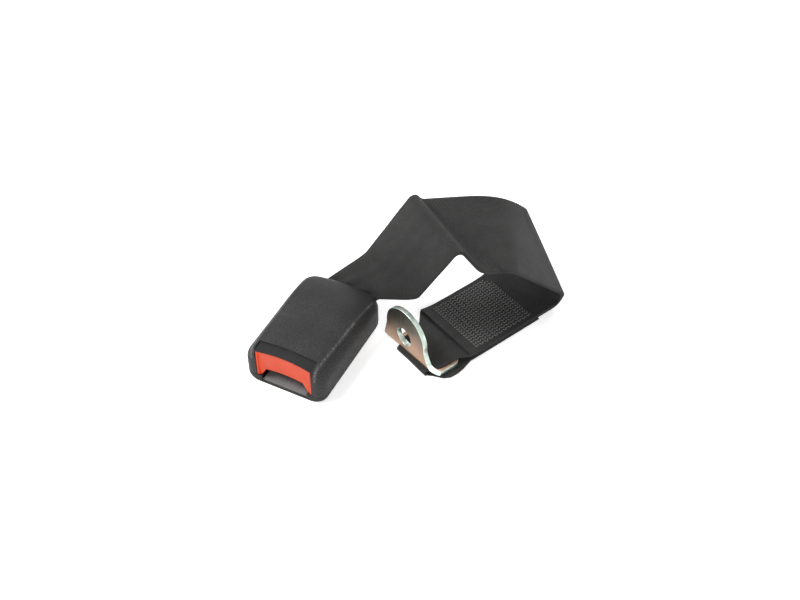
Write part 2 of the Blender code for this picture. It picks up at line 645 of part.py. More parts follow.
def strap_lines():
    """The strap's middle surface as lines from near to far edge, tail first."""
    rows = [(u, u, 0.0) for u in (0, 3, 6, 9, 12)]
    for near, far, near_spread, far_spread, angle in BENDS:
        weights = [math.sin(math.pi * (i + 0.5) / FOLDS) for i in range(FOLDS)]
        for i, weight in enumerate(weights):
            k = (i + 0.5) / FOLDS - 0.5
            rows.append((near + k * near_spread, far + k * far_spread, angle * weight / sum(weights)))
    rows.append((*STRAP_FOOT, 0.0))
    place = tail_frame() @ Matrix.Translation((0, 0, 2 * STRAP_PLY))
    lines = []
    for near, far, angle in rows:
        near, far = near * MM, far * MM
        lines.append([place @ Vector((near, 0, 0)), place @ Vector((far, STRAP_WIDTH, 0))])
        axis = Vector((far - near, STRAP_WIDTH, 0))
        pivot = Vector((near, 0, 0))
        turn = Matrix.Rotation(-math.radians(angle), 4, axis)
        place = place @ Matrix.Translation(pivot) @ turn @ Matrix.Translation(-pivot)
    for line, lift in zip(lines, (2.2, 1.7, 1.1, 0.5, 0.1)):
        for point in line:
            point.z += lift * MM
    return lines


def hermite(start, start_run, end, end_run, k):
    a = 2 * k ** 3 - 3 * k ** 2 + 1
    b = k ** 3 - 2 * k ** 2 + k
    c = -2 * k ** 3 + 3 * k ** 2
    d = k ** 3 - k ** 2
    return start * a + start_run * b + end * c + end_run * d


def normals(lines):
    """The strap's upward side at each line."""
    result = []
    for i, (near, far) in enumerate(lines):
        before = lines[max(i - 1, 0)]
        after = lines[min(i + 1, len(lines) - 1)]
        run = (after[0] + after[1]) - (before[0] + before[1])
        result.append(run.cross(far - near).normalized())
    return result


def strap_path():
    """The whole strip as lines across it.

    The upper ply runs from its cut end to the buckle and round the frame's bar,
    comes back as the lower ply, and goes through the anchor plate's slot and
    back under the tail.
    """
    middle = strap_lines()
    foot, before = middle[-1], middle[-2]
    runs = [(foot[i] - before[i]).normalized() * 26 * MM for i in (0, 1)]
    exit_y = HOUSING_LENGTH / 2 + 0.5 * MM
    half_neck = BUCKLE_NECK / 2
    exit_line = [Vector((half_neck, exit_y, STRAP_EXIT_HEIGHT)), Vector((-half_neck, exit_y, STRAP_EXIT_HEIGHT))]
    into = Vector((0, -22 * MM, 0))
    steps = 8
    neck = []
    for k in range(1, steps + 1):
        neck.append([hermite(foot[i], runs[i], exit_line[i], into, k / steps) for i in (0, 1)])
    middle += neck
    ups = normals(middle)
    spread = [STRAP_PLY / 2] * (len(middle) - steps)
    for k in range(1, steps + 1):
        share = k / steps
        spread.append(STRAP_PLY / 2 + (STRAND_SPREAD - STRAP_PLY / 2) * share * share * (3 - 2 * share))
    upper = [[point + up * gap for point in line] for line, up, gap in zip(middle, ups, spread)]
    lower = [[point - up * gap for point in line] for line, up, gap in zip(middle, ups, spread)]

    # The fold has turned the strap over, so the ply on top at the tail goes under the bar
    bar_mid = FRAME_BOTTOM + CRANK_RISE + FRAME_STEEL / 2
    wrap = FRAME_STEEL / 2 + 2 * CLEAR + STRAP_THICK / 2
    wrap_y = STRAP_SLOT_START + STRAP_SLOT_LENGTH + wrap - STRAP_THICK
    bar_rear = STRAP_SLOT_START + STRAP_SLOT_LENGTH + STRAP_BAR
    round_bar = [(bar_rear, bar_mid - wrap)] + arc((wrap_y, bar_mid), wrap, 270, 90, 9) + [(bar_rear, bar_mid + wrap)]
    loop = [[Vector((half_neck, y, z)), Vector((-half_neck, y, z))] for y, z in round_bar]
    return upper + loop + lower[::-1] + anchor_loop()


def anchor_loop():
    """Lower strand past the cut end: over the plate's bar, out through its slot and back under it."""
    place = tail_frame()
    over = PLATE_LIFT + PLATE_STEEL + STRAP_THICK / 2 + CLEAR
    bottom = STRAP_THICK / 2 + 0.1 * MM
    face = PLATE_FACE
    fold = 1.4 * MM
    side = [(face + 20.5 * MM, over), (face + 17 * MM, over + 0.05 * MM), (face + 13.5 * MM, over - 0.05 * MM),
            (face + 9 * MM, over - 1.2 * MM), (face + 4 * MM, over - 2.5 * MM), (face - 1 * MM, bottom + 2 * fold + 0.2 * MM)]
    side += arc((face - 3 * MM, bottom + fold), fold, 90, 270, 6)
    side += [(face + 4 * MM, bottom), (face + 12 * MM, bottom), (face + 20 * MM, bottom),
             (0.0, bottom), (SEWN_LENGTH, bottom)]
    middle = STRAP_WIDTH / 2 + 1.2 * MM
    lines = []
    for u, z in side:
        pinch = min(max((u - PLATE_FACE - 15 * MM) / (-PLATE_FACE - 12 * MM), 0.0), 1.0)
        pinch = pinch * pinch * (3 - 2 * pinch)
        half = ANCHOR_NECK / 2 + (STRAP_WIDTH - ANCHOR_NECK) / 2 * pinch
        centre = middle + (STRAP_WIDTH / 2 - middle) * pinch
        lines.append([place @ Vector((u, centre - half, z)), place @ Vector((u, centre + half, z))])
    return lines


def ribbon(name, lines, thick, finish):
    """A strip of cloth as one closed solid along its cross lines."""
    bm = bmesh.new()
    rings = []
    for (near, far), up in zip(lines, normals(lines)):
        off = up * thick / 2
        rings.append([bm.verts.new(point) for point in (near - off, far - off, far + off, near + off)])
    for ring, following in zip(rings, rings[1:]):
        for i in range(4):
            j = (i + 1) % 4
            bm.faces.new((ring[i], ring[j], following[j], following[i]))
    bm.faces.new(rings[0])
    bm.faces.new(rings[-1])
    return new_object(name, bm, PARTS, finish, smooth=True)


def build_strap():
    cloth = material("webbing", (0.05, 0.05, 0.05), 0.85)
    return ribbon("webbing", strap_path(), STRAP_THICK, cloth)


# Anchor plate

def plate_blank():
    """The plate's flat outline: across the strap, and down from the eye's centre."""
    bend_length = math.radians(90) * (PLATE_BEND - PLATE_STEEL / 2)
    bend_start = EYE_HEIGHT - PLATE_LIFT - PLATE_BEND
    foot_end = bend_start + bend_length + PLATE_FOOT - PLATE_BEND
    flare = bend_start + 5 * MM
    outline = arc((0, 0), EYE_RADIUS, 0, 180, 16)
    outline += [(-PLATE_FAR + 0.8 * MM, -flare), (-PLATE_FAR, -flare - 4 * MM)]
    outline += arc((-PLATE_FAR + PLATE_CORNER, -foot_end + PLATE_CORNER), PLATE_CORNER, 180, 270, 4)
    outline += arc((PLATE_NEAR - PLATE_CORNER, -foot_end + PLATE_CORNER), PLATE_CORNER, 270, 360, 4)
    # The near side flares out below the eye in one hollow curve
    hollow = PLATE_NEAR - EYE_RADIUS
    outline += arc((PLATE_NEAR, -flare + hollow - 1 * MM), hollow, 270, 185, 7)
    slot_low = foot_end - PLATE_BAR
    slot_high = bend_start + math.radians(90 - SLOT_TOP_ANGLE) * (PLATE_BEND - PLATE_STEEL / 2)
    corner = 2.5 * MM
    middle = EYE_OFFSET - 1.2 * MM
    left, right = middle - ANCHOR_SLOT / 2, middle + ANCHOR_SLOT / 2
    slot = arc((right - corner, -slot_high - corner), corner, 90, 0, 3)
    slot += arc((right - corner, -slot_low + corner), corner, 0, -90, 3)
    slot += arc((left + corner, -slot_low + corner), corner, -90, -180, 3)
    slot += arc((left + corner, -slot_high - corner), corner, 180, 90, 3)
    hole = arc((0, 0), EYE_HOLE / 2, 0, 345, 23)
    return outline, slot, hole, bend_start, bend_length


def build_plate():
    zinc = material("yellow_zinc", (0.62, 0.52, 0.33), 0.3, 1.0)
    outline, slot, hole, bend_start, bend_length = plate_blank()
    bm = prism([outline, slot, hole], 0.0, PLATE_STEEL, axis="Z")
    cuts = 8
    for k in range(cuts + 1):
        down = -bend_start - bend_length * k / cuts
        geometry = bm.verts[:] + bm.edges[:] + bm.faces[:]
        bmesh.ops.bisect_plane(bm, geom=geometry, plane_co=(0, down, 0), plane_no=(0, 1, 0), dist=1e-7)
    near = STRAP_WIDTH / 2 + EYE_OFFSET
    centre = Vector((PLATE_FACE + PLATE_BEND, 0, PLATE_LIFT + PLATE_BEND))
    for vert in bm.verts:
        across, down, depth = vert.co.x, -vert.co.y, vert.co.z
        if down <= bend_start:
            u, z = PLATE_FACE + depth, EYE_HEIGHT - down
        elif down <= bend_start + bend_length:
            turn = (down - bend_start) / bend_length * math.radians(90)
            radius = PLATE_BEND - depth
            u = centre.x - radius * math.cos(turn)
            z = centre.z - radius * math.sin(turn)
        else:
            u = centre.x + down - bend_start - bend_length
            z = PLATE_LIFT + depth
        vert.co = (u, near - across, z)
    bm.transform(tail_frame())
    plate = new_object("anchor_plate", bm, PARTS, zinc, smooth=True)
    return plate


for old in list(bpy.data.objects):
    bpy.data.objects.remove(old)
PARTS = collection(PART)
CUTTERS = collection("cutters")
build_covers()
build_screws()
build_button()
build_guide()
build_frame()
build_latch()
build_ejector()
build_springs()
build_bridge()
build_strap()
build_plate()
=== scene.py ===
"""Looks of a rear seat belt buckle: webbing, stitches, finishes, camera and light.

Lengths are in metres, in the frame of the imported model: the buckle lies on its
underside with its mouth towards -Y, and +Z is up.
"""
import math
import random

import bmesh
import bpy
from mathutils import Matrix, Vector, noise


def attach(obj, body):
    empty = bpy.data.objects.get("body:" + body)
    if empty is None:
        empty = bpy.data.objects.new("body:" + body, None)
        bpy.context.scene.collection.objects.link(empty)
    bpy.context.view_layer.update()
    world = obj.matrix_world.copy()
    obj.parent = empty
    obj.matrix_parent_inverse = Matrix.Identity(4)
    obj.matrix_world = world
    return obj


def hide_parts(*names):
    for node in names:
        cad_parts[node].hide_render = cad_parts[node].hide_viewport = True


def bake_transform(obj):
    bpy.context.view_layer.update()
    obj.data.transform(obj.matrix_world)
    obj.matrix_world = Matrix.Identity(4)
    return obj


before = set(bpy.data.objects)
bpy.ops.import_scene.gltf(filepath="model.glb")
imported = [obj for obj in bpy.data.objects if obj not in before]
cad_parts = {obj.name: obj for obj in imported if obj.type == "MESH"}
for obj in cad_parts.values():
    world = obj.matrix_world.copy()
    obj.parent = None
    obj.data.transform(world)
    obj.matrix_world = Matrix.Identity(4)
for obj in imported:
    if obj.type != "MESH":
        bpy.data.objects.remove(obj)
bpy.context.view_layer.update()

MM = 0.001

# The photograph's camera
CAMERA_AZIMUTH = 26.6
CAMERA_ELEVATION = 45.9
CAMERA_DISTANCE = 800 * MM
CAMERA_TARGET = Vector((27.6, 58.0, 0.0)) * MM
FOCAL_PIXELS = 1268.0
IMAGE_WIDTH = 800.0
SENSOR = 36.0

# Webbing: the CAD strip's route, apart from its exit at the buckle and its loop round the plate
STRAP_WIDTH = 47 * MM
STRAP_THICK = 1.2 * MM
STRAP_PLY = 1.4 * MM
BUCKLE_NECK = 34 * MM
STRAND_SPREAD = 2.4 * MM
STRAP_EXIT_HEIGHT = 10.5 * MM
BUCKLE_REAR = 39 * MM
STEP_CENTRE = (66.7 * MM, 41.0 * MM)
TAIL_HEADING = 65.0
TAIL_RISE = 2.2 * MM
TAIL_RISE_LENGTH = 13 * MM
# Bends in mm along the tail: their places on the near and far edge, the spread of their
# folds along each edge, and their angle
FOLDS = 12
BENDS = (
    (73, 66, 9, 60, 92),
    (82, 115, 10, 15, 60),
    (144, 150, 12, 56, 52),
    (160, 194, 20, 6, -72),
    (188, 200, 11, 7, 132),
)
STRAP_FOOT = (238, 262)
FOOT_RUN = 26 * MM
EXIT_RUN = 22 * MM
EXIT_STEPS = 20
BAR_FRONT = 28.8 * MM
BAR_REAR = 33.4 * MM
BAR_MIDDLE = 12.2 * MM
BAR_WRAP = 2.4 * MM
PLATE_FACE = -27.5 * MM
PLATE_TOP = 4.9 * MM
ANCHOR_NECK = 33 * MM
LOOP_MIDDLE = 19.7 * MM
LOOP_FOLD = 1.7 * MM
CLEAR = 0.3 * MM
ROW_STEP = 1.5 * MM
ACROSS = 36
PUCKERS = 3
PUCKER_LIMIT = 1.5 * MM
PUCKER_START = 36 * MM
PUCKER_FADE = 6 * MM
RIPPLE = 0.25 * MM
EDGE_STEPS = 3
EDGE_BULGE = 0.6

# Housing: its outer form, with a value for the front and the rear where two are given
SKIN_END = 39 * MM
SKIN_HALF = 26.5 * MM
BELLY = 14 * MM
RIDGE_HALF = (21.1 * MM, 23.8 * MM)
RIDGE_TOP = (26.5 * MM, 24.3 * MM)
SKIN_CROWN = 2.0 * MM
PLAN_CORNERS = (5.5 * MM, 11 * MM)
REAR_SLOPE = 32 * MM
REAR_DROP = 5.5 * MM
END_ROLL = 3.5 * MM
LOWER_RADIUS = 4 * MM
SKIN_WALL = 1.5 * MM
SEAM = (5.0 * MM, 3.2 * MM)
LEDGE_LENGTH = 8 * MM
LEDGE_DROP = 0.8 * MM
STRAP_MOUTH_HALF = 20.5 * MM
STRAP_MOUTH = (6.0 * MM, 14.6 * MM)
MOUTH_HALF = 15.2 * MM
MOUTH_DEPTH = 12.2 * MM
MOUTH_FLOOR = 1.2 * MM
POST_X = 20.3 * MM
POST_YS = (-15 * MM, 18 * MM)
POST_RADIUS = 1.9 * MM
SCREW_RADIUS = 1.2 * MM
SCREW_TOP = 8.3 * MM
HEAD_RADIUS = 1.8 * MM
HEAD_SEAT = 2 * MM
SHELL_EDGE = 0.25 * MM

# Release button, with room behind it for its travel of 5 mm
BUTTON_HALF = 18.3 * MM
BUTTON_FOOT = 5.4 * MM
BUTTON_DROP = 1.9 * MM
BUTTON_DEPTH = 8.5 * MM
BUTTON_ROOM = 6 * MM
BUTTON_SETBACK = 0.4 * MM
BUTTON_HOLLOW = 0.9 * MM
BUTTON_RIM = 1.2 * MM
RIM_DEPTH = 0.5 * MM
NOTCH_HALVES = (16.3 * MM, 12.6 * MM)
NOTCH_TOP = 11.4 * MM
NOTCH_ARCH = 0.8 * MM
ARM_LOW = 18.8 * MM
ARM_HEIGHT = 3.8 * MM
ARM_WIDTH = 3.6 * MM
ARM_LENGTH = 25 * MM
ARM_OUTER = 18.2 * MM
CROSS_BAR_Y = -10.5 * MM
CROSS_BAR_RADIUS = 1.4 * MM

# Anchor plate: places across the tail are measured from its near edge. Bends and lifts
# are given at the near and the far edge.
EYE_MIDDLE = 28.3 * MM
EYE_TOP = 18.2 * MM
EYE_RADIUS = 17.6 * MM
HOLE_MIDDLE = 28.9 * MM
HOLE_HEIGHT = 15.2 * MM
HOLE_RADIUS = 6.25 * MM
PLATE_STEEL = 3.2 * MM
PLATE_NEAR = 0.6 * MM
PLATE_FAR = 48.5 * MM
PLATE_BENDS = (7.0 * MM, 3.4 * MM)
PLATE_LIFTS = (1.6 * MM, 0.9 * MM)
SLOT_HIGH = 3.0 * MM
SLOT_SIDES = (3.2 * MM, 37 * MM)
SLOT_CORNER = 2.5 * MM
BAR_DEPTH = 6.2 * MM
FOOT_END = -14.5 * MM
FOOT_FAR = 40 * MM
FOOT_CORNER = 5 * MM

# Stitching on the sewn tail
SEWN_START = 7 * MM
SEWN_END = 54 * MM
STITCH_ROWS = 19
STITCH_LENGTH = 1.9 * MM
SEWN_MARGIN = 2.5 * MM
THREAD = 0.32 * MM

# Lamps: name, place, size and power
LAMP_AIM = (0.02, 0.05, 0.0)
LAMPS = (
    ("key", (-0.45, -0.25, 0.75), 0.5, 9.0),
    ("fill", (0.65, -0.45, 0.45), 0.6, 3.6),
    ("back", (0.1, 0.8, 0.5), 0.5, 4.0),
)


def tail_frame():
    """Frame on the floor at the upper ply's cut end: along the tail, near to far edge, up."""
    heading = math.radians(TAIL_HEADING)
    along = Vector((math.cos(heading), math.sin(heading), 0.0))
    across = Vector((-along.y, along.x, 0.0))
    near_corner = Vector((*STEP_CENTRE, 0.0)) - across * STRAP_WIDTH / 2
    return Matrix(((along.x, across.x, 0, near_corner.x), (along.y, across.y, 0, near_corner.y),
                   (0, 0, 1, 0), (0, 0, 0, 1)))


def tail_lift(u):
    """How far the tail rises, near its cut end, to pass over the plate's bar."""
    share = min(max(1 - u / TAIL_RISE_LENGTH, 0.0), 1.0)
    return TAIL_RISE * share ** 1.6


def strap_middle():
    """The doubled strap's middle surface as lines from near to far edge, tail first."""
    rows = [(3 * k, 3 * k, 0.0) for k in range(6)]
    for near, far, near_spread, far_spread, angle in BENDS:
        weights = [math.sin(math.pi * (i + 0.5) / FOLDS) for i in range(FOLDS)]
        for i, weight in enumerate(weights):
            k = (i + 0.5) / FOLDS - 0.5
            rows.append((near + k * near_spread, far + k * far_spread, angle * weight / sum(weights)))
    rows.append((*STRAP_FOOT, 0.0))
    place = tail_frame() @ Matrix.Translation((0, 0, 2 * STRAP_PLY))
    lines = []
    for near, far, angle in rows:
        near, far = near * MM, far * MM
        lift = Vector((0, 0, tail_lift(near) if angle == 0 else 0.0))
        pivot = Vector((near, 0, 0))
        lines.append([place @ pivot + lift, place @ Vector((far, STRAP_WIDTH, 0)) + lift])
        axis = Vector((far - near, STRAP_WIDTH, 0))
        turn = Matrix.Rotation(-math.radians(angle), 4, axis)
        place = place @ Matrix.Translation(pivot) @ turn @ Matrix.Translation(-pivot)
    return lines


def hermite(start, start_run, end, end_run, k):
    """The point at k on a curve between two ends with set runs."""
    a = 2 * k ** 3 - 3 * k ** 2 + 1
    b = k ** 3 - 2 * k ** 2 + k
    c = -2 * k ** 3 + 3 * k ** 2
    d = k ** 3 - k ** 2
    return start * a + start_run * b + end * c + end_run * d


def normals(lines):
    """The strap's upward side at each line."""
    result = []
    for i, (near, far) in enumerate(lines):
        before = lines[max(i - 1, 0)]
        after = lines[min(i + 1, len(lines) - 1)]
        run = (after[0] + after[1]) - (before[0] + before[1])
        result.append(run.cross(far - near).normalized())
    return result


def smooth(k):
    """0 to 1 with soft ends, as k goes from 0 to 1."""
    k = min(max(k, 0.0), 1.0)
    return k * k * (3 - 2 * k)


def arc(centre, radius, start, end, steps):
    """Points on an arc, its angles in degrees."""
    angles = [math.radians(start + (end - start) * i / steps) for i in range(steps + 1)]
    return [(centre[0] + radius * math.cos(a), centre[1] + radius * math.sin(a)) for a in angles]


def strap_route():
    """The whole strip as lines across it, each with its share of the pucker, from 0 to 1."""
    middle = strap_middle()
    foot, before = middle[-1], middle[-2]
    runs = [(foot[i] - before[i]).normalized() * FOOT_RUN for i in (0, 1)]
    half = BUCKLE_NECK / 2
    exit_y = BUCKLE_REAR + 0.5 * MM
    exit_line = [Vector((x, exit_y, STRAP_EXIT_HEIGHT)) for x in (half, -half)]
    into = Vector((0, -EXIT_RUN, 0))
    plain = len(middle)
    steps = [k / EXIT_STEPS for k in range(1, EXIT_STEPS + 1)]
    for k in steps:
        middle.append([hermite(foot[i], runs[i], exit_line[i], into, k) for i in (0, 1)])
    ups = normals(middle)
    shares = [0.0] * plain + [smooth(k) for k in steps]
    gaps = [STRAP_PLY / 2 + (STRAND_SPREAD - STRAP_PLY / 2) * share for share in shares]
    upper = [[point + up * gap for point in line] for line, up, gap in zip(middle, ups, gaps)]
    lower = [[point - up * gap for point in line] for line, up, gap in zip(middle, ups, gaps)]
    wrap_y = BAR_FRONT + BAR_WRAP - STRAP_THICK
    round_bar = [(BAR_REAR, BAR_MIDDLE - BAR_WRAP)]
    round_bar += arc((wrap_y, BAR_MIDDLE), BAR_WRAP, 270, 90, 12)
    round_bar += [(BAR_REAR, BAR_MIDDLE + BAR_WRAP)]
    loop = [[Vector((half, y, z)), Vector((-half, y, z))] for y, z in round_bar]
    route = list(zip(upper, shares)) + [(line, 0.0) for line in loop]
    route += list(zip(lower[::-1], shares[::-1])) + [(line, 0.0) for line in anchor_loop()]
    return route


def anchor_loop():
    """The lower ply over the plate's bar, out through its slot and back under it."""
    place = tail_frame()
    over = PLATE_TOP + STRAP_THICK / 2 + CLEAR
    bottom = STRAP_THICK / 2 + 0.1 * MM
    face = PLATE_FACE
    # Over the bar, in mm: behind the plate's face, and above the upper height
    falls = ((20.5, 0.0), (17, 0.05), (14, -0.1), (10, -0.7), (6, -1.3), (2, -1.8))
    side = [(face + behind * MM, over + lift * MM) for behind, lift in falls]
    side += arc((face + 0.2 * MM, bottom + LOOP_FOLD), LOOP_FOLD, 90, 270, 10)
    under = len(side)
    side += [(face + behind * MM, bottom) for behind in (2.5, 6, 10, 15, 20)]
    side += [(0.0, bottom), (SEWN_END + 2 * MM, bottom)]
    lines = []
    for index, (u, z) in enumerate(side):
        pinch = smooth((u - face - 15 * MM) / (-face - 12 * MM))
        half = ANCHOR_NECK / 2 + (STRAP_WIDTH - ANCHOR_NECK) / 2 * pinch
        centre = LOOP_MIDDLE + (STRAP_WIDTH / 2 - LOOP_MIDDLE) * pinch
        near = centre - half
        far = centre + half
        # The cloth draws in where it turns round the bar's front
        turned = smooth((face + 7 * MM - u) / (8 * MM))
        near += 4.0 * MM * turned
        far -= 3.0 * MM * turned
        if index >= under:
            # Under the foot the ply spreads past the plate's near edge
            spread = smooth((u - face) / (9 * MM))
            bulge = math.sin(math.pi * min(max((u - face) / (-face), 0.0), 1.0))
            near += (-0.5 * MM - near) * spread - 2.8 * MM * bulge * spread
        lines.append([place @ Vector((u, near, z)), place @ Vector((u, far, z))])
    return lines


def resample(route):
    """The route with lines added until neighbours lie no more than a step apart."""
    fine = []
    for (line, pucker), (following, next_pucker) in zip(route, route[1:]):
        longest = max((following[i] - line[i]).length for i in (0, 1))
        parts = max(1, math.ceil(longest / ROW_STEP))
        for part in range(parts):
            k = part / parts
            between = [line[i].lerp(following[i], k) for i in (0, 1)]
            fine.append((between, pucker + (next_pucker - pucker) * k))
    return fine + [route[-1]]


def pucker_height(t, share, width):
    """Waves across a narrowed strap, which take up the width that it lost."""
    squeeze = max(STRAP_WIDTH / width - 1, 0.0)
    height = min(width / (PUCKERS * math.pi) * math.sqrt(squeeze), PUCKER_LIMIT) * share
    edge = math.sin(math.pi * t) ** 0.4
    return height * edge * math.sin(2 * math.pi * PUCKERS * t + 0.6)


def strap_ring(line, up, run, share):
    """The strip's outline across one line, and each point's place on the flat cloth."""
    near, far = line
    width = max((far - near).length, BUCKLE_NECK)
    centre, at = [], []
    for j in range(ACROSS + 1):
        t = j / ACROSS
        point = near.lerp(far, t) + up * pucker_height(t, share, width)
        ripple = noise.noise(Vector((run * 60, t * 2.2, 3.0))) * RIPPLE
        centre.append(point + up * ripple)
        at.append((run, t * STRAP_WIDTH))
    edge = STRAP_THICK / 2
    across = (far - near).normalized()
    top = [point + up * edge for point in centre]
    bottom = [point - up * edge for point in reversed(centre)]
    far_edge, near_edge = [], []
    for k in range(1, EDGE_STEPS + 1):
        turn = math.pi * k / (EDGE_STEPS + 1)
        bulge = across * math.sin(turn) * edge * EDGE_BULGE
        far_edge.append(centre[-1] + up * edge * math.cos(turn) + bulge)
        near_edge.append(centre[0] - up * edge * math.cos(turn) - bulge)
    places = at + [at[-1]] * EDGE_STEPS + at[::-1] + [at[0]] * EDGE_STEPS
    return top + far_edge + bottom + near_edge, places


def build_webbing():
    """The whole strip of webbing, and its length."""
    route = resample(strap_route())
    lines = [line for line, pucker in route]
    bm = bmesh.new()
    uv_layer = bm.loops.layers.uv.new("cloth")
    run = 0.0
    rings, places = [], []
    for index, ((line, pucker), up) in enumerate(zip(route, normals(lines))):
        if index:
            before = lines[index - 1]
            run += ((line[0] + line[1]) - (before[0] + before[1])).length / 2
        # Puckers fade inside the buckle, where the strap lies flat on its bar
        share = pucker * smooth((line[0].y - PUCKER_START) / PUCKER_FADE)
        points, at = strap_ring(line, up, run, share)
        rings.append([bm.verts.new(point) for point in points])
        places.append(at)
    count = len(rings[0])
    for r, (ring, following) in enumerate(zip(rings, rings[1:])):
        here, there = places[r], places[r + 1]
        for i in range(count):
            j = (i + 1) % count
            face = bm.faces.new((ring[i], ring[j], following[j], following[i]))
            # The cloth's coordinates are in centimetres
            for loop, spot in zip(face.loops, (here[i], here[j], there[j], there[i])):
                loop[uv_layer].uv = (spot[0] / MM / 10, spot[1] / MM / 10)
    bm.faces.new(rings[0])
    bm.faces.new(rings[-1])
    strap = finish_mesh("webbing_strip", bm, webbing_material())
    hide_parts("webbing")
    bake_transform(strap)
    return strap, run


def finish_mesh(name, bm, finish):
    """An object of the mesh, with its faces turned outwards and its finish on."""
    bmesh.ops.recalc_face_normals(bm, faces=bm.faces)
    if bm.calc_volume(signed=True) < 0:
        bmesh.ops.reverse_faces(bm, faces=bm.faces)
    mesh = bpy.data.meshes.new(name)
    bm.to_mesh(mesh)
    bm.free()
    mesh.shade_smooth()
    mesh.set_sharp_from_angle(angle=math.radians(60))
    mesh.materials.append(finish)
    made = bpy.data.objects.new(name, mesh)
    bpy.context.scene.collection.objects.link(made)
    return made


def build_stitches():
    """Zigzag rows of raised stitches across the sewn tail."""
    place = tail_frame()
    top = 2 * STRAP_PLY + STRAP_PLY / 2 + STRAP_THICK / 2
    rng = random.Random(7)
    bm = bmesh.new()
    pitch = (STRAP_WIDTH - 2 * SEWN_MARGIN) / STITCH_ROWS
    along_count = int((SEWN_END - SEWN_START) / STITCH_LENGTH)
    for row in range(STITCH_ROWS):
        base = SEWN_MARGIN + pitch * (row + 0.5)
        for k in range(along_count):
            u = SEWN_START + STITCH_LENGTH * (k + 0.5)
            slant = 1 if k % 2 else -1
            v = base + slant * pitch * 0.04
            start = Vector((u - 0.42 * STITCH_LENGTH, v - slant * 0.38 * pitch, 0))
            end = Vector((u + 0.42 * STITCH_LENGTH, v + slant * 0.38 * pitch, 0))
            height = top + tail_lift(u) + rng.uniform(-0.05, 0.05) * MM
            add_stitch(bm, place, start, end, height)
    stitches = finish_mesh("tail_stitches", bm, thread_material())
    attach(stitches, "buckle")
    return stitches


def add_stitch(bm, place, start, end, height):
    """One stitch: a thread that rises out of the cloth, lies on it and dips back in."""
    along = (end - start).normalized()
    side = Vector((-along.y, along.x, 0))
    steps, sides = 5, 6
    rings = []
    for i in range(steps + 1):
        k = i / steps
        rise = THREAD * (math.sin(math.pi * k) ** 0.5 * 1.5 - 0.9)
        centre = start.lerp(end, k) + Vector((0, 0, height + rise))
        thick = THREAD * (0.6 + 0.4 * math.sin(math.pi * k))
        ring = []
        for s in range(sides):
            turn = 2 * math.pi * s / sides
            offset = side * math.cos(turn) * thick * 1.25
            offset += Vector((0, 0, 1)) * math.sin(turn) * thick
            ring.append(bm.verts.new(place @ (centre + offset)))
        rings.append(ring)
    for ring, following in zip(rings, rings[1:]):
        for s in range(sides):
            n = (s + 1) % sides
            bm.faces.new((ring[s], ring[n], following[n], following[s]))
    bm.faces.new(rings[0])
    bm.faces.new(rings[-1])


# Solids: the housing's shells, the button and the anchor plate

def loft(rings):
    """A closed solid through rings of points."""
    bm = bmesh.new()
    rows = [[bm.verts.new(point) for point in ring] for ring in rings]
    for ring, following in zip(rows, rows[1:]):
        for i in range(len(ring)):
            j = (i + 1) % len(ring)
            bm.faces.new((ring[i], ring[j], following[j], following[i]))
    bm.faces.new(rows[0])
    bm.faces.new(rows[-1])
    return bm


def slab(half, front, rear, low, high, steps=48):
    """A block across X; each of its sides is a number or a rule of x."""
    rings = []
    for i in range(steps + 1):
        x = half * (2 * i / steps - 1)
        a, b, c, d = (side(x) if callable(side) else side for side in (front, rear, low, high))
        rings.append([(x, a, c), (x, b, c), (x, b, d), (x, a, d)])
    return loft(rings)


def prism(outline, low, high):
    """A flat outline in X and Y, pushed from low to high."""
    return loft([[(a, b, level) for a, b in outline] for level in (low, high)])


def rod(radius, place, low, high, sides=32):
    """An upright round bar from low to high."""
    x, y = place
    turns = [2 * math.pi * i / sides for i in range(sides)]
    outline = [(x + radius * math.cos(t), y + radius * math.sin(t)) for t in turns]
    return prism(outline, low, high)


def soften(piece, width):
    """Rounds a piece's sharp edges."""
    rounding = piece.modifiers.new("edge", "BEVEL")
    rounding.width = width
    rounding.segments = 3
    rounding.limit_method = "ANGLE"
    rounding.angle_limit = math.radians(38)
    rounding.harden_normals = True


def carve(name, bm, steps, finish, edge):
    """A piece cut and joined by its steps, with softened edges."""
    piece = finish_mesh(name, bm, finish)
    tools = []
    for operation, shape in steps:
        tool = finish_mesh("tool", shape, finish)
        step = piece.modifiers.new("cut", "BOOLEAN")
        step.operation = operation
        step.object = tool
        step.solver = "EXACT"
        tools.append(tool)
    soften(piece, edge)
    bpy.context.view_layer.update()
    whole = piece.evaluated_get(bpy.context.evaluated_depsgraph_get())
    mesh = bpy.data.meshes.new_from_object(whole)
    piece.modifiers.clear()
    piece.data = mesh
    mesh.shade_smooth()
    mesh.set_sharp_from_angle(angle=math.radians(32))
    for tool in tools:
        bpy.data.objects.remove(tool)
    return piece


def skin_cut(y, inset):
    """What the plan's round corners take off each side of the housing at y."""
    corner = (PLAN_CORNERS[1] if y > 0 else PLAN_CORNERS[0]) - inset
    reach = SKIN_END - inset - abs(y)
    if reach >= corner:
        return 0.0
    return corner - math.sqrt(max(corner ** 2 - (corner - reach) ** 2, 0.0))


def skin_ridge(y, inset=0.0):
    """Half width and height of the ridge between the leaning side and the crowned top."""
    share = y / (2 * SKIN_END) + 0.5
    half = RIDGE_HALF[0] + (RIDGE_HALF[1] - RIDGE_HALF[0]) * share - skin_cut(y, inset) - inset
    top = RIDGE_TOP[0] + (RIDGE_TOP[1] - RIDGE_TOP[0]) * share - inset
    reach = SKIN_END - inset - y
    top -= REAR_DROP * max(1 - reach / REAR_SLOPE, 0.0) ** 2
    bent = min(max(1 - reach / END_ROLL, 0.0), 1.0)
    return half, top - END_ROLL * (1 - math.sqrt(1 - bent * bent))


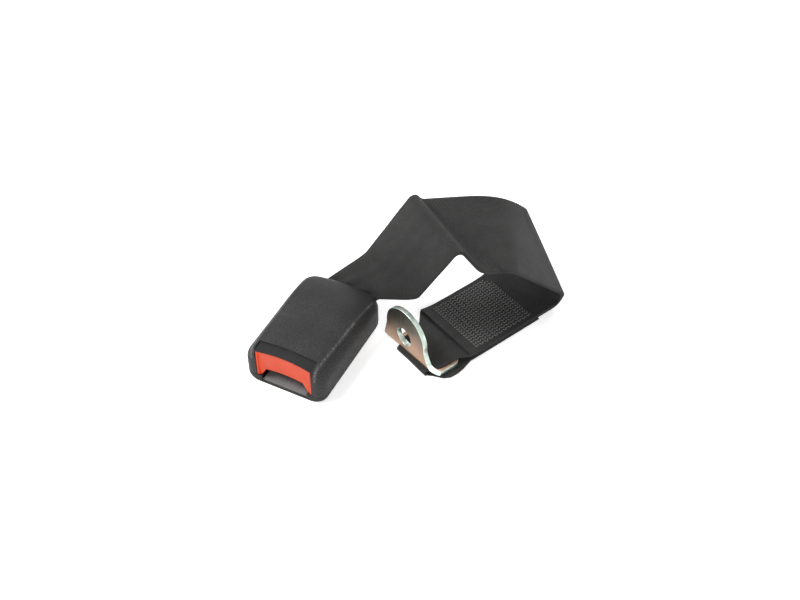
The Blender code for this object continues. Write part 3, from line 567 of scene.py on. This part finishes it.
def crown_height(x, y):
    """Height of the housing's crowned top."""
    half, top = skin_ridge(y)
    return top + SKIN_CROWN * (1 - (x / half) ** 2)


def skin_section(y, inset):
    """The housing's outline at y, shrunk by inset, from low right round to low left."""
    half = SKIN_HALF - inset - skin_cut(y, inset)
    ridge, top = skin_ridge(y, inset)
    low = LOWER_RADIUS - inset / 2
    belly = min(BELLY, top - 4 * MM)
    right = [(half - low, inset)] + arc((half - low, inset + low), low, -75, 0, 6)
    lean = half - ridge
    # The side and the top stop short of the ridge, and a curve joins them
    kept = 0.94
    for k in range(1, 11):
        share = k / 10 * kept
        right.append((half - lean * share ** 2.2, belly + (top - belly) * share))
    corners = (right[-1], (ridge, top), (ridge * kept, top + SKIN_CROWN * (1 - kept ** 2)))
    for t in (0.25, 0.5, 0.75):
        weights = ((1 - t) ** 2, 2 * t * (1 - t), t * t)
        point = [sum(w * corner[i] for w, corner in zip(weights, corners)) for i in (0, 1)]
        right.append(tuple(point))
    for k in range(9):
        share = kept * (1 - k / 8)
        right.append((ridge * share, top + SKIN_CROWN * (1 - share ** 2)))
    return [(x, y, z) for x, z in right + [(-x, z) for x, z in reversed(right[:-1])]]


def skin_solid(inset):
    """The housing's outer form, or the same form shrunk by inset."""
    end = SKIN_END - inset
    front, rear = (corner - inset for corner in PLAN_CORNERS)
    turns = [1 - math.cos(math.radians(9 * k)) for k in range(11)]
    run = 2 * end - front - rear
    ys = [-end + front * turn for turn in turns]
    ys += [-end + front + run * k / 20 for k in range(1, 20)]
    ys += [end - rear * turn for turn in reversed(turns)]
    return loft([skin_section(y, inset) for y in ys])


def face_front(x):
    """Where the button's hollow face lies at x."""
    share = min(abs(x) / BUTTON_HALF, 1.0)
    return -SKIN_END + BUTTON_SETBACK + BUTTON_HOLLOW * (1 - share ** 2)


def over_front(x, drop):
    """Height of the crown above the button at x, less a drop."""
    return crown_height(x, -SKIN_END + PLAN_CORNERS[0]) - drop


def cut_away(*shapes):
    """Steps that take each shape out of a piece."""
    return [("DIFFERENCE", shape) for shape in shapes]


def posts(seated):
    """Steps for a shell's screw posts, the screws' holes and, if seated, their heads' seats."""
    below = -1 * MM
    joins, holes, seats = [], [], []
    for y in POST_YS:
        for x in (-POST_X, POST_X):
            top = skin_ridge(y)[1] - (SKIN_WALL - CLEAR)
            joins.append(("UNION", rod(POST_RADIUS, (x, y), SKIN_WALL - CLEAR, top)))
            holes += cut_away(rod(SCREW_RADIUS, (x, y), below, SCREW_TOP))
            if seated:
                seats += cut_away(rod(HEAD_RADIUS, (x, y), below, HEAD_SEAT))
    return joins + holes + seats


def seam_side(side):
    """Everything above (1) or below (-1) the seam, which steps down behind the mouth."""
    far = 60 * MM
    gap = -side * CLEAR / 2
    rings = []
    for y, z in ((-far, SEAM[0]), (-30 * MM, SEAM[0]), (-12 * MM, SEAM[1]), (far, SEAM[1])):
        edge = side * far
        rings.append([(-far, y, z + gap), (far, y, z + gap), (far, y, edge), (-far, y, edge)])
    return loft(rings)


def build_covers(finish):
    """The housing's two moulded shells."""
    end = SKIN_END
    before = -end - 2 * MM
    above = 40 * MM
    ledge = slab(BUTTON_HALF + 1 * MM, before, -end + LEDGE_LENGTH,
                 lambda x: over_front(x, LEDGE_DROP), above)
    opening = slab(BUTTON_HALF + CLEAR, before, -end + BUTTON_DEPTH + BUTTON_ROOM, SEAM[0] - 1 * MM,
                   lambda x: over_front(x, SKIN_WALL))
    lip = slab(BUTTON_HALF, before, lambda x: face_front(x) - BUTTON_SETBACK, 0.0, above)
    strap_mouth = slab(STRAP_MOUTH_HALF, end - 6 * MM, end + 5 * MM, *STRAP_MOUTH, 1)
    steps = cut_away(skin_solid(SKIN_WALL)) + posts(seated=False)
    steps += cut_away(seam_side(-1), ledge, opening, lip, strap_mouth)
    upper = carve("housing_top", skin_solid(0.0), steps, finish, SHELL_EDGE)
    tongue_mouth = slab(MOUTH_HALF, -end - 5 * MM, -end + MOUTH_DEPTH, MOUTH_FLOOR, SEAM[0] + 1 * MM, 1)
    steps = cut_away(skin_solid(SKIN_WALL)) + posts(seated=True)
    steps += cut_away(seam_side(1), tongue_mouth)
    lower = carve("housing_bottom", skin_solid(0.0), steps, finish, SHELL_EDGE)
    for shell, node in ((upper, "upper_cover"), (lower, "lower_cover")):
        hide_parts(node)
        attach(shell, "buckle")


def notch_height(x):
    """Top of the tongue's way under the button: a low arch with slanted sides."""
    outer, inner = NOTCH_HALVES
    if abs(x) <= inner:
        return NOTCH_TOP + NOTCH_ARCH * (1 - (x / inner) ** 2)
    share = (abs(x) - inner) / (outer - inner)
    return NOTCH_TOP + (BUTTON_FOOT - 0.5 * MM - NOTCH_TOP) * share ** 0.8


def build_button(finish):
    """The hollow button cap with its rimmed face, and the arms that hold its cross bar."""
    rear = -SKIN_END + BUTTON_SETBACK + BUTTON_DEPTH
    before = -SKIN_END - 5 * MM
    cap = slab(BUTTON_HALF, face_front, rear, BUTTON_FOOT, lambda x: over_front(x, BUTTON_DROP))
    notch = slab(NOTCH_HALVES[0], before, rear + 1 * MM, -1 * MM, notch_height)
    panel = slab(BUTTON_HALF - BUTTON_RIM, before, lambda x: face_front(x) + RIM_DEPTH, 0.0,
                 lambda x: over_front(x, BUTTON_DROP + 1.0 * MM))
    hollow = slab(BUTTON_HALF - 2 * MM, -SKIN_END + 4 * MM, rear + 1 * MM, 0.0, 21 * MM, 1)
    steps = cut_away(notch, panel, hollow)
    for side in (-1, 1):
        arm = slab(ARM_WIDTH / 2, rear - BUTTON_DEPTH / 2, rear + ARM_LENGTH,
                   ARM_LOW, ARM_LOW + ARM_HEIGHT, 1)
        aside = side * (ARM_OUTER - CLEAR - ARM_WIDTH / 2)
        bmesh.ops.translate(arm, verts=arm.verts, vec=(aside, 0, 0))
        steps.append(("UNION", arm))
    bore = rod(CROSS_BAR_RADIUS, (0, CROSS_BAR_Y), -30 * MM, 30 * MM)
    place = Matrix.Translation((0, CROSS_BAR_Y, ARM_LOW + ARM_HEIGHT / 2))
    turn = Matrix.Rotation(math.pi / 2, 4, "Y")
    bore.transform(place @ turn @ Matrix.Translation((0, -CROSS_BAR_Y, 0)))
    steps += cut_away(bore)
    button = carve("button_cap", cap, steps, finish, 0.35 * MM)
    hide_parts("release_button")
    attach(button, "button")


def plate_bend(across):
    """Lift and outer radius of the plate's bend, tighter and lower towards its far side."""
    share = min(max(across / PLATE_FAR, 0.0), 1.0)
    return [near + (far - near) * share for near, far in (PLATE_LIFTS, PLATE_BENDS)]


def plate_outline():
    """The anchor plate's flat outline: across the tail, and up from the floor as if unbent."""
    outline = arc((EYE_MIDDLE, EYE_TOP), EYE_RADIUS, -8, 180, 52)
    start = Vector((EYE_MIDDLE - EYE_RADIUS, EYE_TOP))
    knee = Vector((start.x - 0.5 * MM, start.y - 9 * MM))
    end = Vector((PLATE_NEAR, 2 * MM))
    for k in range(1, 13):
        t = k / 12
        outline.append(tuple(start * (1 - t) ** 2 + knee * 2 * t * (1 - t) + end * t * t))
    corner = FOOT_CORNER
    outline += arc((PLATE_NEAR + corner, FOOT_END + corner), corner, 180, 270, 8)
    outline += arc((FOOT_FAR - corner, FOOT_END + corner), corner, 270, 360, 8)
    # The eye's far lobe comes down to here, past the foot
    low = 0.6 * MM
    tip = 2 * MM
    outline += [(FOOT_FAR, low - 3 * MM), (FOOT_FAR + 1 * MM, low - 0.6 * MM)]
    outline += arc((PLATE_FAR - tip, low + tip), tip, 270, 370, 7)
    return outline


def slice_mesh(bm, place, normal):
    """Adds edges where a plane crosses the mesh."""
    geometry = bm.verts[:] + bm.edges[:] + bm.faces[:]
    bmesh.ops.bisect_plane(bm, geom=geometry, plane_co=place, plane_no=normal, dist=1e-7)


def build_plate(finish, edge_highlight_finish):
    """The anchor plate, cut flat and then bent into its upright eye and its foot."""
    above = PLATE_STEEL + 1 * MM
    below = -1 * MM
    hole = rod(HOLE_RADIUS, (HOLE_MIDDLE, HOLE_HEIGHT), below, above, 64)
    corner = SLOT_CORNER
    left, right = SLOT_SIDES[0] + corner, SLOT_SIDES[1] - corner
    high, low = SLOT_HIGH - corner, FOOT_END + BAR_DEPTH + corner
    slot = arc((right, high), corner, 90, 0, 6) + arc((right, low), corner, 0, -90, 6)
    slot += arc((left, low), corner, -90, -180, 6) + arc((left, high), corner, 180, 90, 6)
    steps = cut_away(hole, prism(slot, below, above))
    plate = carve("eye_plate", prism(plate_outline(), 0.0, PLATE_STEEL), steps, finish, 0.45 * MM)
    plate.data.materials.append(edge_highlight_finish)
    bm = bmesh.new()
    bm.from_mesh(plate.data)
    # The cut edges' faces, which stand upright before the bend, take the second finish: their painted
    # highlight
    for face in bm.faces:
        face.material_index = int(abs(face.normal.z) < 0.8)
    for k in range(45):
        slice_mesh(bm, (0, 12 * MM - k * 0.5 * MM, 0), (0, 1, 0))
    for k in range(12):
        slice_mesh(bm, (PLATE_FAR * k / 12, 0, 0), (1, 0, 0))
    # Each point is wrapped round the bend, whose radius depends on its place across
    for vert in bm.verts:
        across, level, depth = vert.co
        lift, bend = plate_bend(across)
        start = lift + bend
        length = math.radians(90) * (bend - PLATE_STEEL / 2)
        turn = min(max((start - level) / length, 0.0), 1.0) * math.radians(90)
        past = max(start - length - level, 0.0)
        u = PLATE_FACE + bend - (bend - depth) * math.cos(turn) + past
        z = max(level, start) - (bend - depth) * math.sin(turn)
        vert.co = (u, across, z)
    bm.transform(tail_frame())
    bmesh.ops.recalc_face_normals(bm, faces=bm.faces)
    bm.to_mesh(plate.data)
    bm.free()
    plate.data.set_sharp_from_angle(angle=math.radians(40))
    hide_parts("anchor_plate")
    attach(plate, "anchor")


# Materials

class Graph:
    """A new material's node tree, with short calls that add and join nodes."""

    def __init__(self, name, colour, roughness, metallic=0.0, specular=0.5):
        self.material = bpy.data.materials.new(name)
        self.material.use_nodes = True
        self.tree = self.material.node_tree
        self.shader = self.tree.nodes["Principled BSDF"]
        self.shader.inputs["Base Color"].default_value = (*colour, 1)
        self.shader.inputs["Roughness"].default_value = roughness
        self.shader.inputs["Metallic"].default_value = metallic
        self.shader.inputs["Specular IOR Level"].default_value = specular

    def add(self, kind, **values):
        node = self.tree.nodes.new("ShaderNode" + kind)
        for key, value in values.items():
            setattr(node, key, value)
        return node

    def join(self, source, target):
        self.tree.links.new(source, target)

    def set(self, socket, value):
        """Gives a socket a number, or joins another node's output to it."""
        if hasattr(value, "node"):
            self.join(value, socket)
        else:
            socket.default_value = value

    def place(self, scale=(1, 1, 1), uv=False, turn=(0, 0, 0)):
        """Coordinates on the object, or on the flat cloth, scaled and turned."""
        coordinates = self.add("TexCoord")
        mapping = self.add("Mapping")
        mapping.inputs["Scale"].default_value = scale
        mapping.inputs["Rotation"].default_value = turn
        self.join(coordinates.outputs["UV" if uv else "Object"], mapping.inputs["Vector"])
        return mapping.outputs["Vector"]

    def split(self, vector):
        """The three parts of a vector."""
        node = self.add("SeparateXYZ")
        self.join(vector, node.inputs[0])
        return node.outputs

    def math(self, operation, a, b=0.5, clamp=False):
        node = self.add("Math", operation=operation, use_clamp=clamp)
        self.set(node.inputs[0], a)
        self.set(node.inputs[1], b)
        return node.outputs[0]

    def noise(self, vector, scale, detail=3, roughness=0.55):
        node = self.add("TexNoise")
        self.join(vector, node.inputs["Vector"])
        node.inputs["Scale"].default_value = scale
        node.inputs["Detail"].default_value = detail
        node.inputs["Roughness"].default_value = roughness
        return node.outputs["Fac"]

    def cells(self, vector, scale, feature="F1"):
        node = self.add("TexVoronoi", feature=feature)
        self.join(vector, node.inputs["Vector"])
        node.inputs["Scale"].default_value = scale
        return node.outputs["Distance"]

    def ramp(self, factor, stops):
        node = self.add("ValToRGB")
        self.join(factor, node.inputs["Fac"])
        ramp = node.color_ramp
        while len(ramp.elements) < len(stops):
            ramp.elements.new(0.5)
        for element, (position, colour) in zip(ramp.elements, stops):
            element.position = position
            element.color = (*colour, 1)
        return node.outputs["Color"]

    def range(self, factor, low, high):
        node = self.add("MapRange")
        self.join(factor, node.inputs["Value"])
        node.inputs["To Min"].default_value = low
        node.inputs["To Max"].default_value = high
        return node.outputs["Result"]

    def bump(self, height, distance, strength=1.0, below=None):
        node = self.add("Bump")
        node.inputs["Strength"].default_value = strength
        node.inputs["Distance"].default_value = distance
        self.join(height, node.inputs["Height"])
        if below is not None:
            self.join(below, node.inputs["Normal"])
        return node.outputs["Normal"]

    def colour(self, value):
        self.join(value, self.shader.inputs["Base Color"])

    def roughness(self, value):
        self.join(value, self.shader.inputs["Roughness"])

    def normal(self, value):
        self.join(value, self.shader.inputs["Normal"])


def webbing_material():
    """Seat belt webbing: panels of diagonal twill along the strap."""
    g = Graph("webbing_cloth", (0.04, 0.038, 0.037), 0.6, specular=0.12)
    g.shader.inputs["Sheen Weight"].default_value = 0.04
    g.shader.inputs["Sheen Roughness"].default_value = 0.4
    along, across = g.split(g.place(uv=True))[:2]
    # The cloth's coordinates, and so these three sizes, are in centimetres
    panel_width, twill_pitch, warp_pitch = 0.47, 0.13, 0.078
    panel = g.math("PINGPONG", across, panel_width)
    twill = g.math("SINE", g.math("MULTIPLY", g.math("ADD", along, panel), 2 * math.pi / twill_pitch))
    warp = g.math("SINE", g.math("MULTIPLY", across, 2 * math.pi / warp_pitch))
    weave = g.math("ADD", g.math("MULTIPLY", twill, 0.6), g.math("MULTIPLY", warp, 0.5))
    here = g.place()
    fuzz = g.noise(here, 900, 4)
    wide = g.noise(here, 38, 3)
    shade = g.math("ADD", g.math("MULTIPLY", weave, 0.2), g.math("MULTIPLY", fuzz, 0.3))
    shade = g.math("ADD", shade, g.math("MULTIPLY", wide, 0.6))
    g.colour(g.ramp(shade, ((0.15, (0.017, 0.0165, 0.0165)), (0.5, (0.031, 0.030, 0.0295)),
                            (0.85, (0.055, 0.053, 0.052)))))
    g.roughness(g.range(fuzz, 0.5, 0.7))
    fine = g.bump(fuzz, 0.06 * MM, 0.6)
    g.normal(g.bump(weave, 0.16 * MM, 0.9, fine))
    return g.material


def thread_material():
    """Dark grey polyester thread, paler and a little glossier than the cloth it lies on."""
    g = Graph("stitch_thread", (0.12, 0.118, 0.116), 0.5, specular=0.3)
    strands = g.noise(g.place(turn=(0, 0, math.radians(TAIL_HEADING))), 1600, 3)
    g.colour(g.ramp(strands, ((0.3, (0.085, 0.083, 0.082)), (0.7, (0.15, 0.147, 0.144)))))
    g.roughness(g.range(strands, 0.4, 0.65))
    g.normal(g.bump(strands, 0.06 * MM, 0.6))
    return g.material


def cover_material():
    """Charcoal plastic: a leather grain that fades to the rear, a smooth ledge, and a painted highlight
    along the ridges.
    """
    g = Graph("cover_grain", (0.035, 0.034, 0.034), 0.5, specular=0.15)
    here = g.place()
    x, y, z = g.split(here)
    aside = g.math("ABSOLUTE", x, 0.0)
    creases = g.cells(here, 640, "DISTANCE_TO_EDGE")
    pebble = g.cells(here, 1250)
    tone = g.noise(here, 45, 4)
    crease_depth = g.math("MINIMUM", g.math("MULTIPLY", creases, 4.0), 1.0)
    grain = g.math("ADD", g.math("MULTIPLY", crease_depth, 0.7), g.math("MULTIPLY", pebble, -0.5))
    on_ledge = g.math("MULTIPLY", g.math("LESS_THAN", y, -SKIN_END + LEDGE_LENGTH),
                      g.math("LESS_THAN", aside, BUTTON_HALF + 1 * MM))
    on_ledge = g.math("MULTIPLY", on_ledge, g.math("GREATER_THAN", z, 20 * MM))
    grain_end, fade_length = 22 * MM, 16 * MM
    fade = g.math("MULTIPLY", g.math("SUBTRACT", grain_end, y), 1 / fade_length, clamp=True)
    strength = g.math("MULTIPLY", fade, g.math("SUBTRACT", 1.0, on_ledge))
    grain = g.math("MULTIPLY", grain, g.math("ADD", g.math("MULTIPLY", strength, 0.9), 0.1))
    # A painted highlight: a pale line along the ridge between the top and each side, broken up by noise
    highlight_reach = 1.4 * MM
    slope = (RIDGE_HALF[1] - RIDGE_HALF[0]) / (2 * SKIN_END)
    middle = (RIDGE_HALF[0] + RIDGE_HALF[1]) / 2
    ridge = g.math("ADD", g.math("MULTIPLY", y, slope), middle)
    off_ridge = g.math("ABSOLUTE", g.math("SUBTRACT", aside, ridge), 0.0)
    ridge_highlight = g.math("SUBTRACT", 1.0, g.math("MULTIPLY", off_ridge, 1 / highlight_reach), clamp=True)
    ridge_highlight = g.math("MULTIPLY", ridge_highlight, g.math("GREATER_THAN", z, 18 * MM))
    ridge_highlight = g.math("MULTIPLY", ridge_highlight, g.range(g.noise(here, 500, 4), 0.2, 1.0))
    shade = g.math("ADD", g.math("MULTIPLY", g.math("MULTIPLY", crease_depth, strength), 0.22),
                   g.math("MULTIPLY", tone, 0.6))
    # The painted highlight lifts the colour along the ridges
    shade = g.math("ADD", shade, g.math("MULTIPLY", ridge_highlight, 0.9))
    shade = g.math("SUBTRACT", shade, g.math("MULTIPLY", on_ledge, 0.25))
    g.colour(g.ramp(shade, ((0.1, (0.014, 0.014, 0.0145)), (0.5, (0.031, 0.0305, 0.0305)),
                            (0.85, (0.066, 0.064, 0.063)), (1.0, (0.14, 0.137, 0.134)))))
    g.roughness(g.range(g.noise(here, 300, 3), 0.42, 0.6))
    g.normal(g.bump(grain, 0.3 * MM, 1.0))
    return g.material


def button_material():
    """Orange-red satin plastic, a little uneven in tone."""
    g = Graph("button_plastic", (0.62, 0.08, 0.035), 0.45, specular=0.15)
    here = g.place()
    wide = g.noise(here, 70, 3)
    speck = g.noise(here, 1400, 3)
    g.colour(g.ramp(wide, ((0.3, (0.62, 0.055, 0.012)), (0.7, (0.7, 0.072, 0.02)))))
    g.roughness(g.range(speck, 0.3, 0.46))
    g.normal(g.bump(speck, 0.03 * MM, 0.5))
    return g.material


def guide_material():
    """Grey plastic ramp, scuffed by the tongue."""
    g = Graph("guide_scuffed", (0.12, 0.115, 0.115), 0.55, specular=0.3)
    scratches = g.noise(g.place((1, 0.1, 1)), 700, 4)
    g.colour(g.ramp(scratches, ((0.3, (0.078, 0.075, 0.075)), (0.7, (0.118, 0.113, 0.113)))))
    g.roughness(g.range(scratches, 0.35, 0.65))
    g.normal(g.bump(scratches, 0.05 * MM, 0.5))
    return g.material


def zinc_and_painted_light_material():
    """Yellow passivated zinc with its own tints, under painted light and shade: dark grey-green at the
    eye's top, through brown to orange low down.
    """
    g = Graph("yellow_zinc_and_painted_light", (0.3, 0.22, 0.15), 0.42, metallic=0.85)
    here = g.place()
    plate_height = 36 * MM
    height = g.math("MULTIPLY", g.split(here)["Z"], 1 / plate_height)
    # Painted light and shade: the face is painted darker towards the eye's top and lighter low down
    painted_light_low_down = g.math("SUBTRACT", 1.0, height, clamp=True)
    bands = g.noise(here, 60, 2, 0.5)
    fine = g.noise(here, 900, 4)
    tint = g.math("ADD", g.math("MULTIPLY", painted_light_low_down, 0.6), g.math("MULTIPLY", bands, 0.35))
    tint = g.math("ADD", tint, g.math("MULTIPLY", fine, 0.08))
    g.colour(g.ramp(tint, ((0.2, (0.075, 0.083, 0.066)), (0.38, (0.13, 0.115, 0.086)),
                           (0.52, (0.24, 0.165, 0.12)), (0.66, (0.4, 0.25, 0.17)),
                           (0.85, (0.38, 0.34, 0.22)))))
    g.roughness(g.range(fine, 0.32, 0.5))
    g.normal(g.bump(fine, 0.05 * MM, 0.35))
    return g.material


def zinc_edge_highlight_material():
    """The plate's cut edges, pale and greenish: a painted highlight over the plating's own green tint.
    """
    g = Graph("zinc_edge_painted_highlight", (0.6, 0.7, 0.62), 0.3, metallic=0.9)
    fine = g.noise(g.place(), 800, 4)
    wide = g.noise(g.place(), 120, 2)
    g.colour(g.ramp(wide, ((0.3, (0.42, 0.5, 0.42)), (0.6, (0.66, 0.76, 0.7)))))
    g.roughness(g.range(fine, 0.24, 0.42))
    g.normal(g.bump(fine, 0.05 * MM, 0.4))
    return g.material


def steel_material(name, colour, grain):
    """Plated steel with drawn or rolled marks."""
    g = Graph(name, colour, 0.35, metallic=1.0)
    marks = g.noise(g.place((1, 0.1, 1)), grain, 4)
    low = tuple(c * 0.8 for c in colour)
    high = tuple(min(c * 1.15, 1.0) for c in colour)
    g.colour(g.ramp(marks, ((0.3, low), (0.7, high))))
    g.roughness(g.range(marks, 0.26, 0.48))
    g.normal(g.bump(marks, 0.04 * MM, 0.4))
    return g.material


def ejector_material():
    """Black moulded plastic."""
    g = Graph("ejector_plastic", (0.03, 0.03, 0.032), 0.5)
    speck = g.noise(g.place(), 1200, 3)
    g.colour(g.ramp(speck, ((0.3, (0.022, 0.022, 0.024)), (0.7, (0.04, 0.04, 0.043)))))
    g.roughness(g.range(speck, 0.4, 0.6))
    g.normal(g.bump(speck, 0.04 * MM, 0.5))
    return g.material


def dress_cad():
    """Gives each shown CAD node its finish, and softens the edges of the tongue's ramp."""
    steel = steel_material("plated_steel", (0.5, 0.49, 0.46), 700)
    wire = steel_material("spring_wire_finish", (0.55, 0.55, 0.55), 1500)
    plastics = {"tongue_guide": guide_material(), "ejector": ejector_material()}
    replaced = ("webbing", "upper_cover", "lower_cover", "release_button", "anchor_plate")
    for name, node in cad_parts.items():
        if name in replaced:
            continue
        is_wire = "spring" in name and name != "spring_bridge"
        finish = plastics.get(name) or (wire if is_wire else steel)
        node.data.materials.clear()
        node.data.materials.append(finish)
    soften(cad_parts["tongue_guide"], 0.25 * MM)


# Studio

def add_camera():
    """The camera at the photograph's angle."""
    azimuth, elevation = math.radians(CAMERA_AZIMUTH), math.radians(CAMERA_ELEVATION)
    level = math.cos(elevation)
    back = Vector((math.sin(azimuth) * level, -math.cos(azimuth) * level, math.sin(elevation)))
    data = bpy.data.cameras.new("camera")
    data.sensor_width = SENSOR
    data.lens = FOCAL_PIXELS / IMAGE_WIDTH * SENSOR
    data.clip_start = 0.01
    camera = bpy.data.objects.new("camera", data)
    camera.location = CAMERA_TARGET + back * CAMERA_DISTANCE
    camera.rotation_euler = back.to_track_quat("Z", "Y").to_euler()
    bpy.context.scene.collection.objects.link(camera)
    bpy.context.scene.camera = camera


def add_lamp(name, place, size, power):
    """A round soft lamp that faces the part."""
    data = bpy.data.lights.new(name, "AREA")
    data.shape = "DISK"
    data.size = size
    data.energy = power
    lamp = bpy.data.objects.new(name, data)
    lamp.location = place
    lamp.rotation_euler = (Vector(place) - Vector(LAMP_AIM)).to_track_quat("Z", "Y").to_euler()
    bpy.context.scene.collection.objects.link(lamp)


def seen_directly(nodes, links):
    """1 for camera, mirror and see-through rays, 0 for light that bounces."""
    path = nodes.new("ShaderNodeLightPath")
    seen = path.outputs["Is Camera Ray"]
    for ray in ("Is Glossy Ray", "Is Transmission Ray"):
        most = nodes.new("ShaderNodeMath")
        most.operation = "MAXIMUM"
        links.new(seen, most.inputs[0])
        links.new(path.outputs[ray], most.inputs[1])
        seen = most.outputs[0]
    return seen


def add_world():
    """White where it is seen, and a weaker fill as light."""
    world = bpy.data.worlds.new("studio")
    bpy.context.scene.world = world
    world.use_nodes = True
    nodes, links = world.node_tree.nodes, world.node_tree.links
    nodes.clear()
    seen = nodes.new("ShaderNodeBackground")
    seen.inputs["Color"].default_value = (1, 1, 1, 1)
    seen.inputs["Strength"].default_value = 1.0
    fill = nodes.new("ShaderNodeBackground")
    fill.inputs["Color"].default_value = (1, 1, 1, 1)
    fill.inputs["Strength"].default_value = 0.36
    mix = nodes.new("ShaderNodeMixShader")
    output = nodes.new("ShaderNodeOutputWorld")
    links.new(seen_directly(nodes, links), mix.inputs["Fac"])
    links.new(fill.outputs[0], mix.inputs[1])
    links.new(seen.outputs[0], mix.inputs[2])
    links.new(mix.outputs[0], output.inputs["Surface"])


def add_floor():
    """A plain white floor that keeps the object's shadow."""
    bm = bmesh.new()
    bmesh.ops.create_grid(bm, x_segments=1, y_segments=1, size=3.0)
    floor = finish_mesh("floor", bm, floor_material())
    floor.location = (0, 0, -0.05 * MM)


def floor_material():
    """White, with a glow that only direct sight and mirrors meet."""
    made = bpy.data.materials.new("floor_white")
    made.use_nodes = True
    nodes, links = made.node_tree.nodes, made.node_tree.links
    shader = nodes["Principled BSDF"]
    shader.inputs["Base Color"].default_value = (0.85, 0.85, 0.85, 1)
    shader.inputs["Roughness"].default_value = 0.9
    glow = nodes.new("ShaderNodeEmission")
    glow.inputs["Strength"].default_value = 0.5
    both = nodes.new("ShaderNodeAddShader")
    links.new(shader.outputs[0], both.inputs[0])
    links.new(glow.outputs[0], both.inputs[1])
    mix = nodes.new("ShaderNodeMixShader")
    links.new(seen_directly(nodes, links), mix.inputs["Fac"])
    links.new(shader.outputs[0], mix.inputs[1])
    links.new(both.outputs[0], mix.inputs[2])
    links.new(mix.outputs[0], nodes["Material Output"].inputs["Surface"])
    return made


add_camera()
add_world()
add_floor()
for lamp in LAMPS:
    add_lamp(*lamp)
dress_cad()
build_covers(cover_material())
build_button(button_material())
build_plate(zinc_and_painted_light_material(), zinc_edge_highlight_material())
webbing, strap_length = build_webbing()
stitches = build_stitches()
bpy.context.scene.view_settings.view_transform = "Standard"
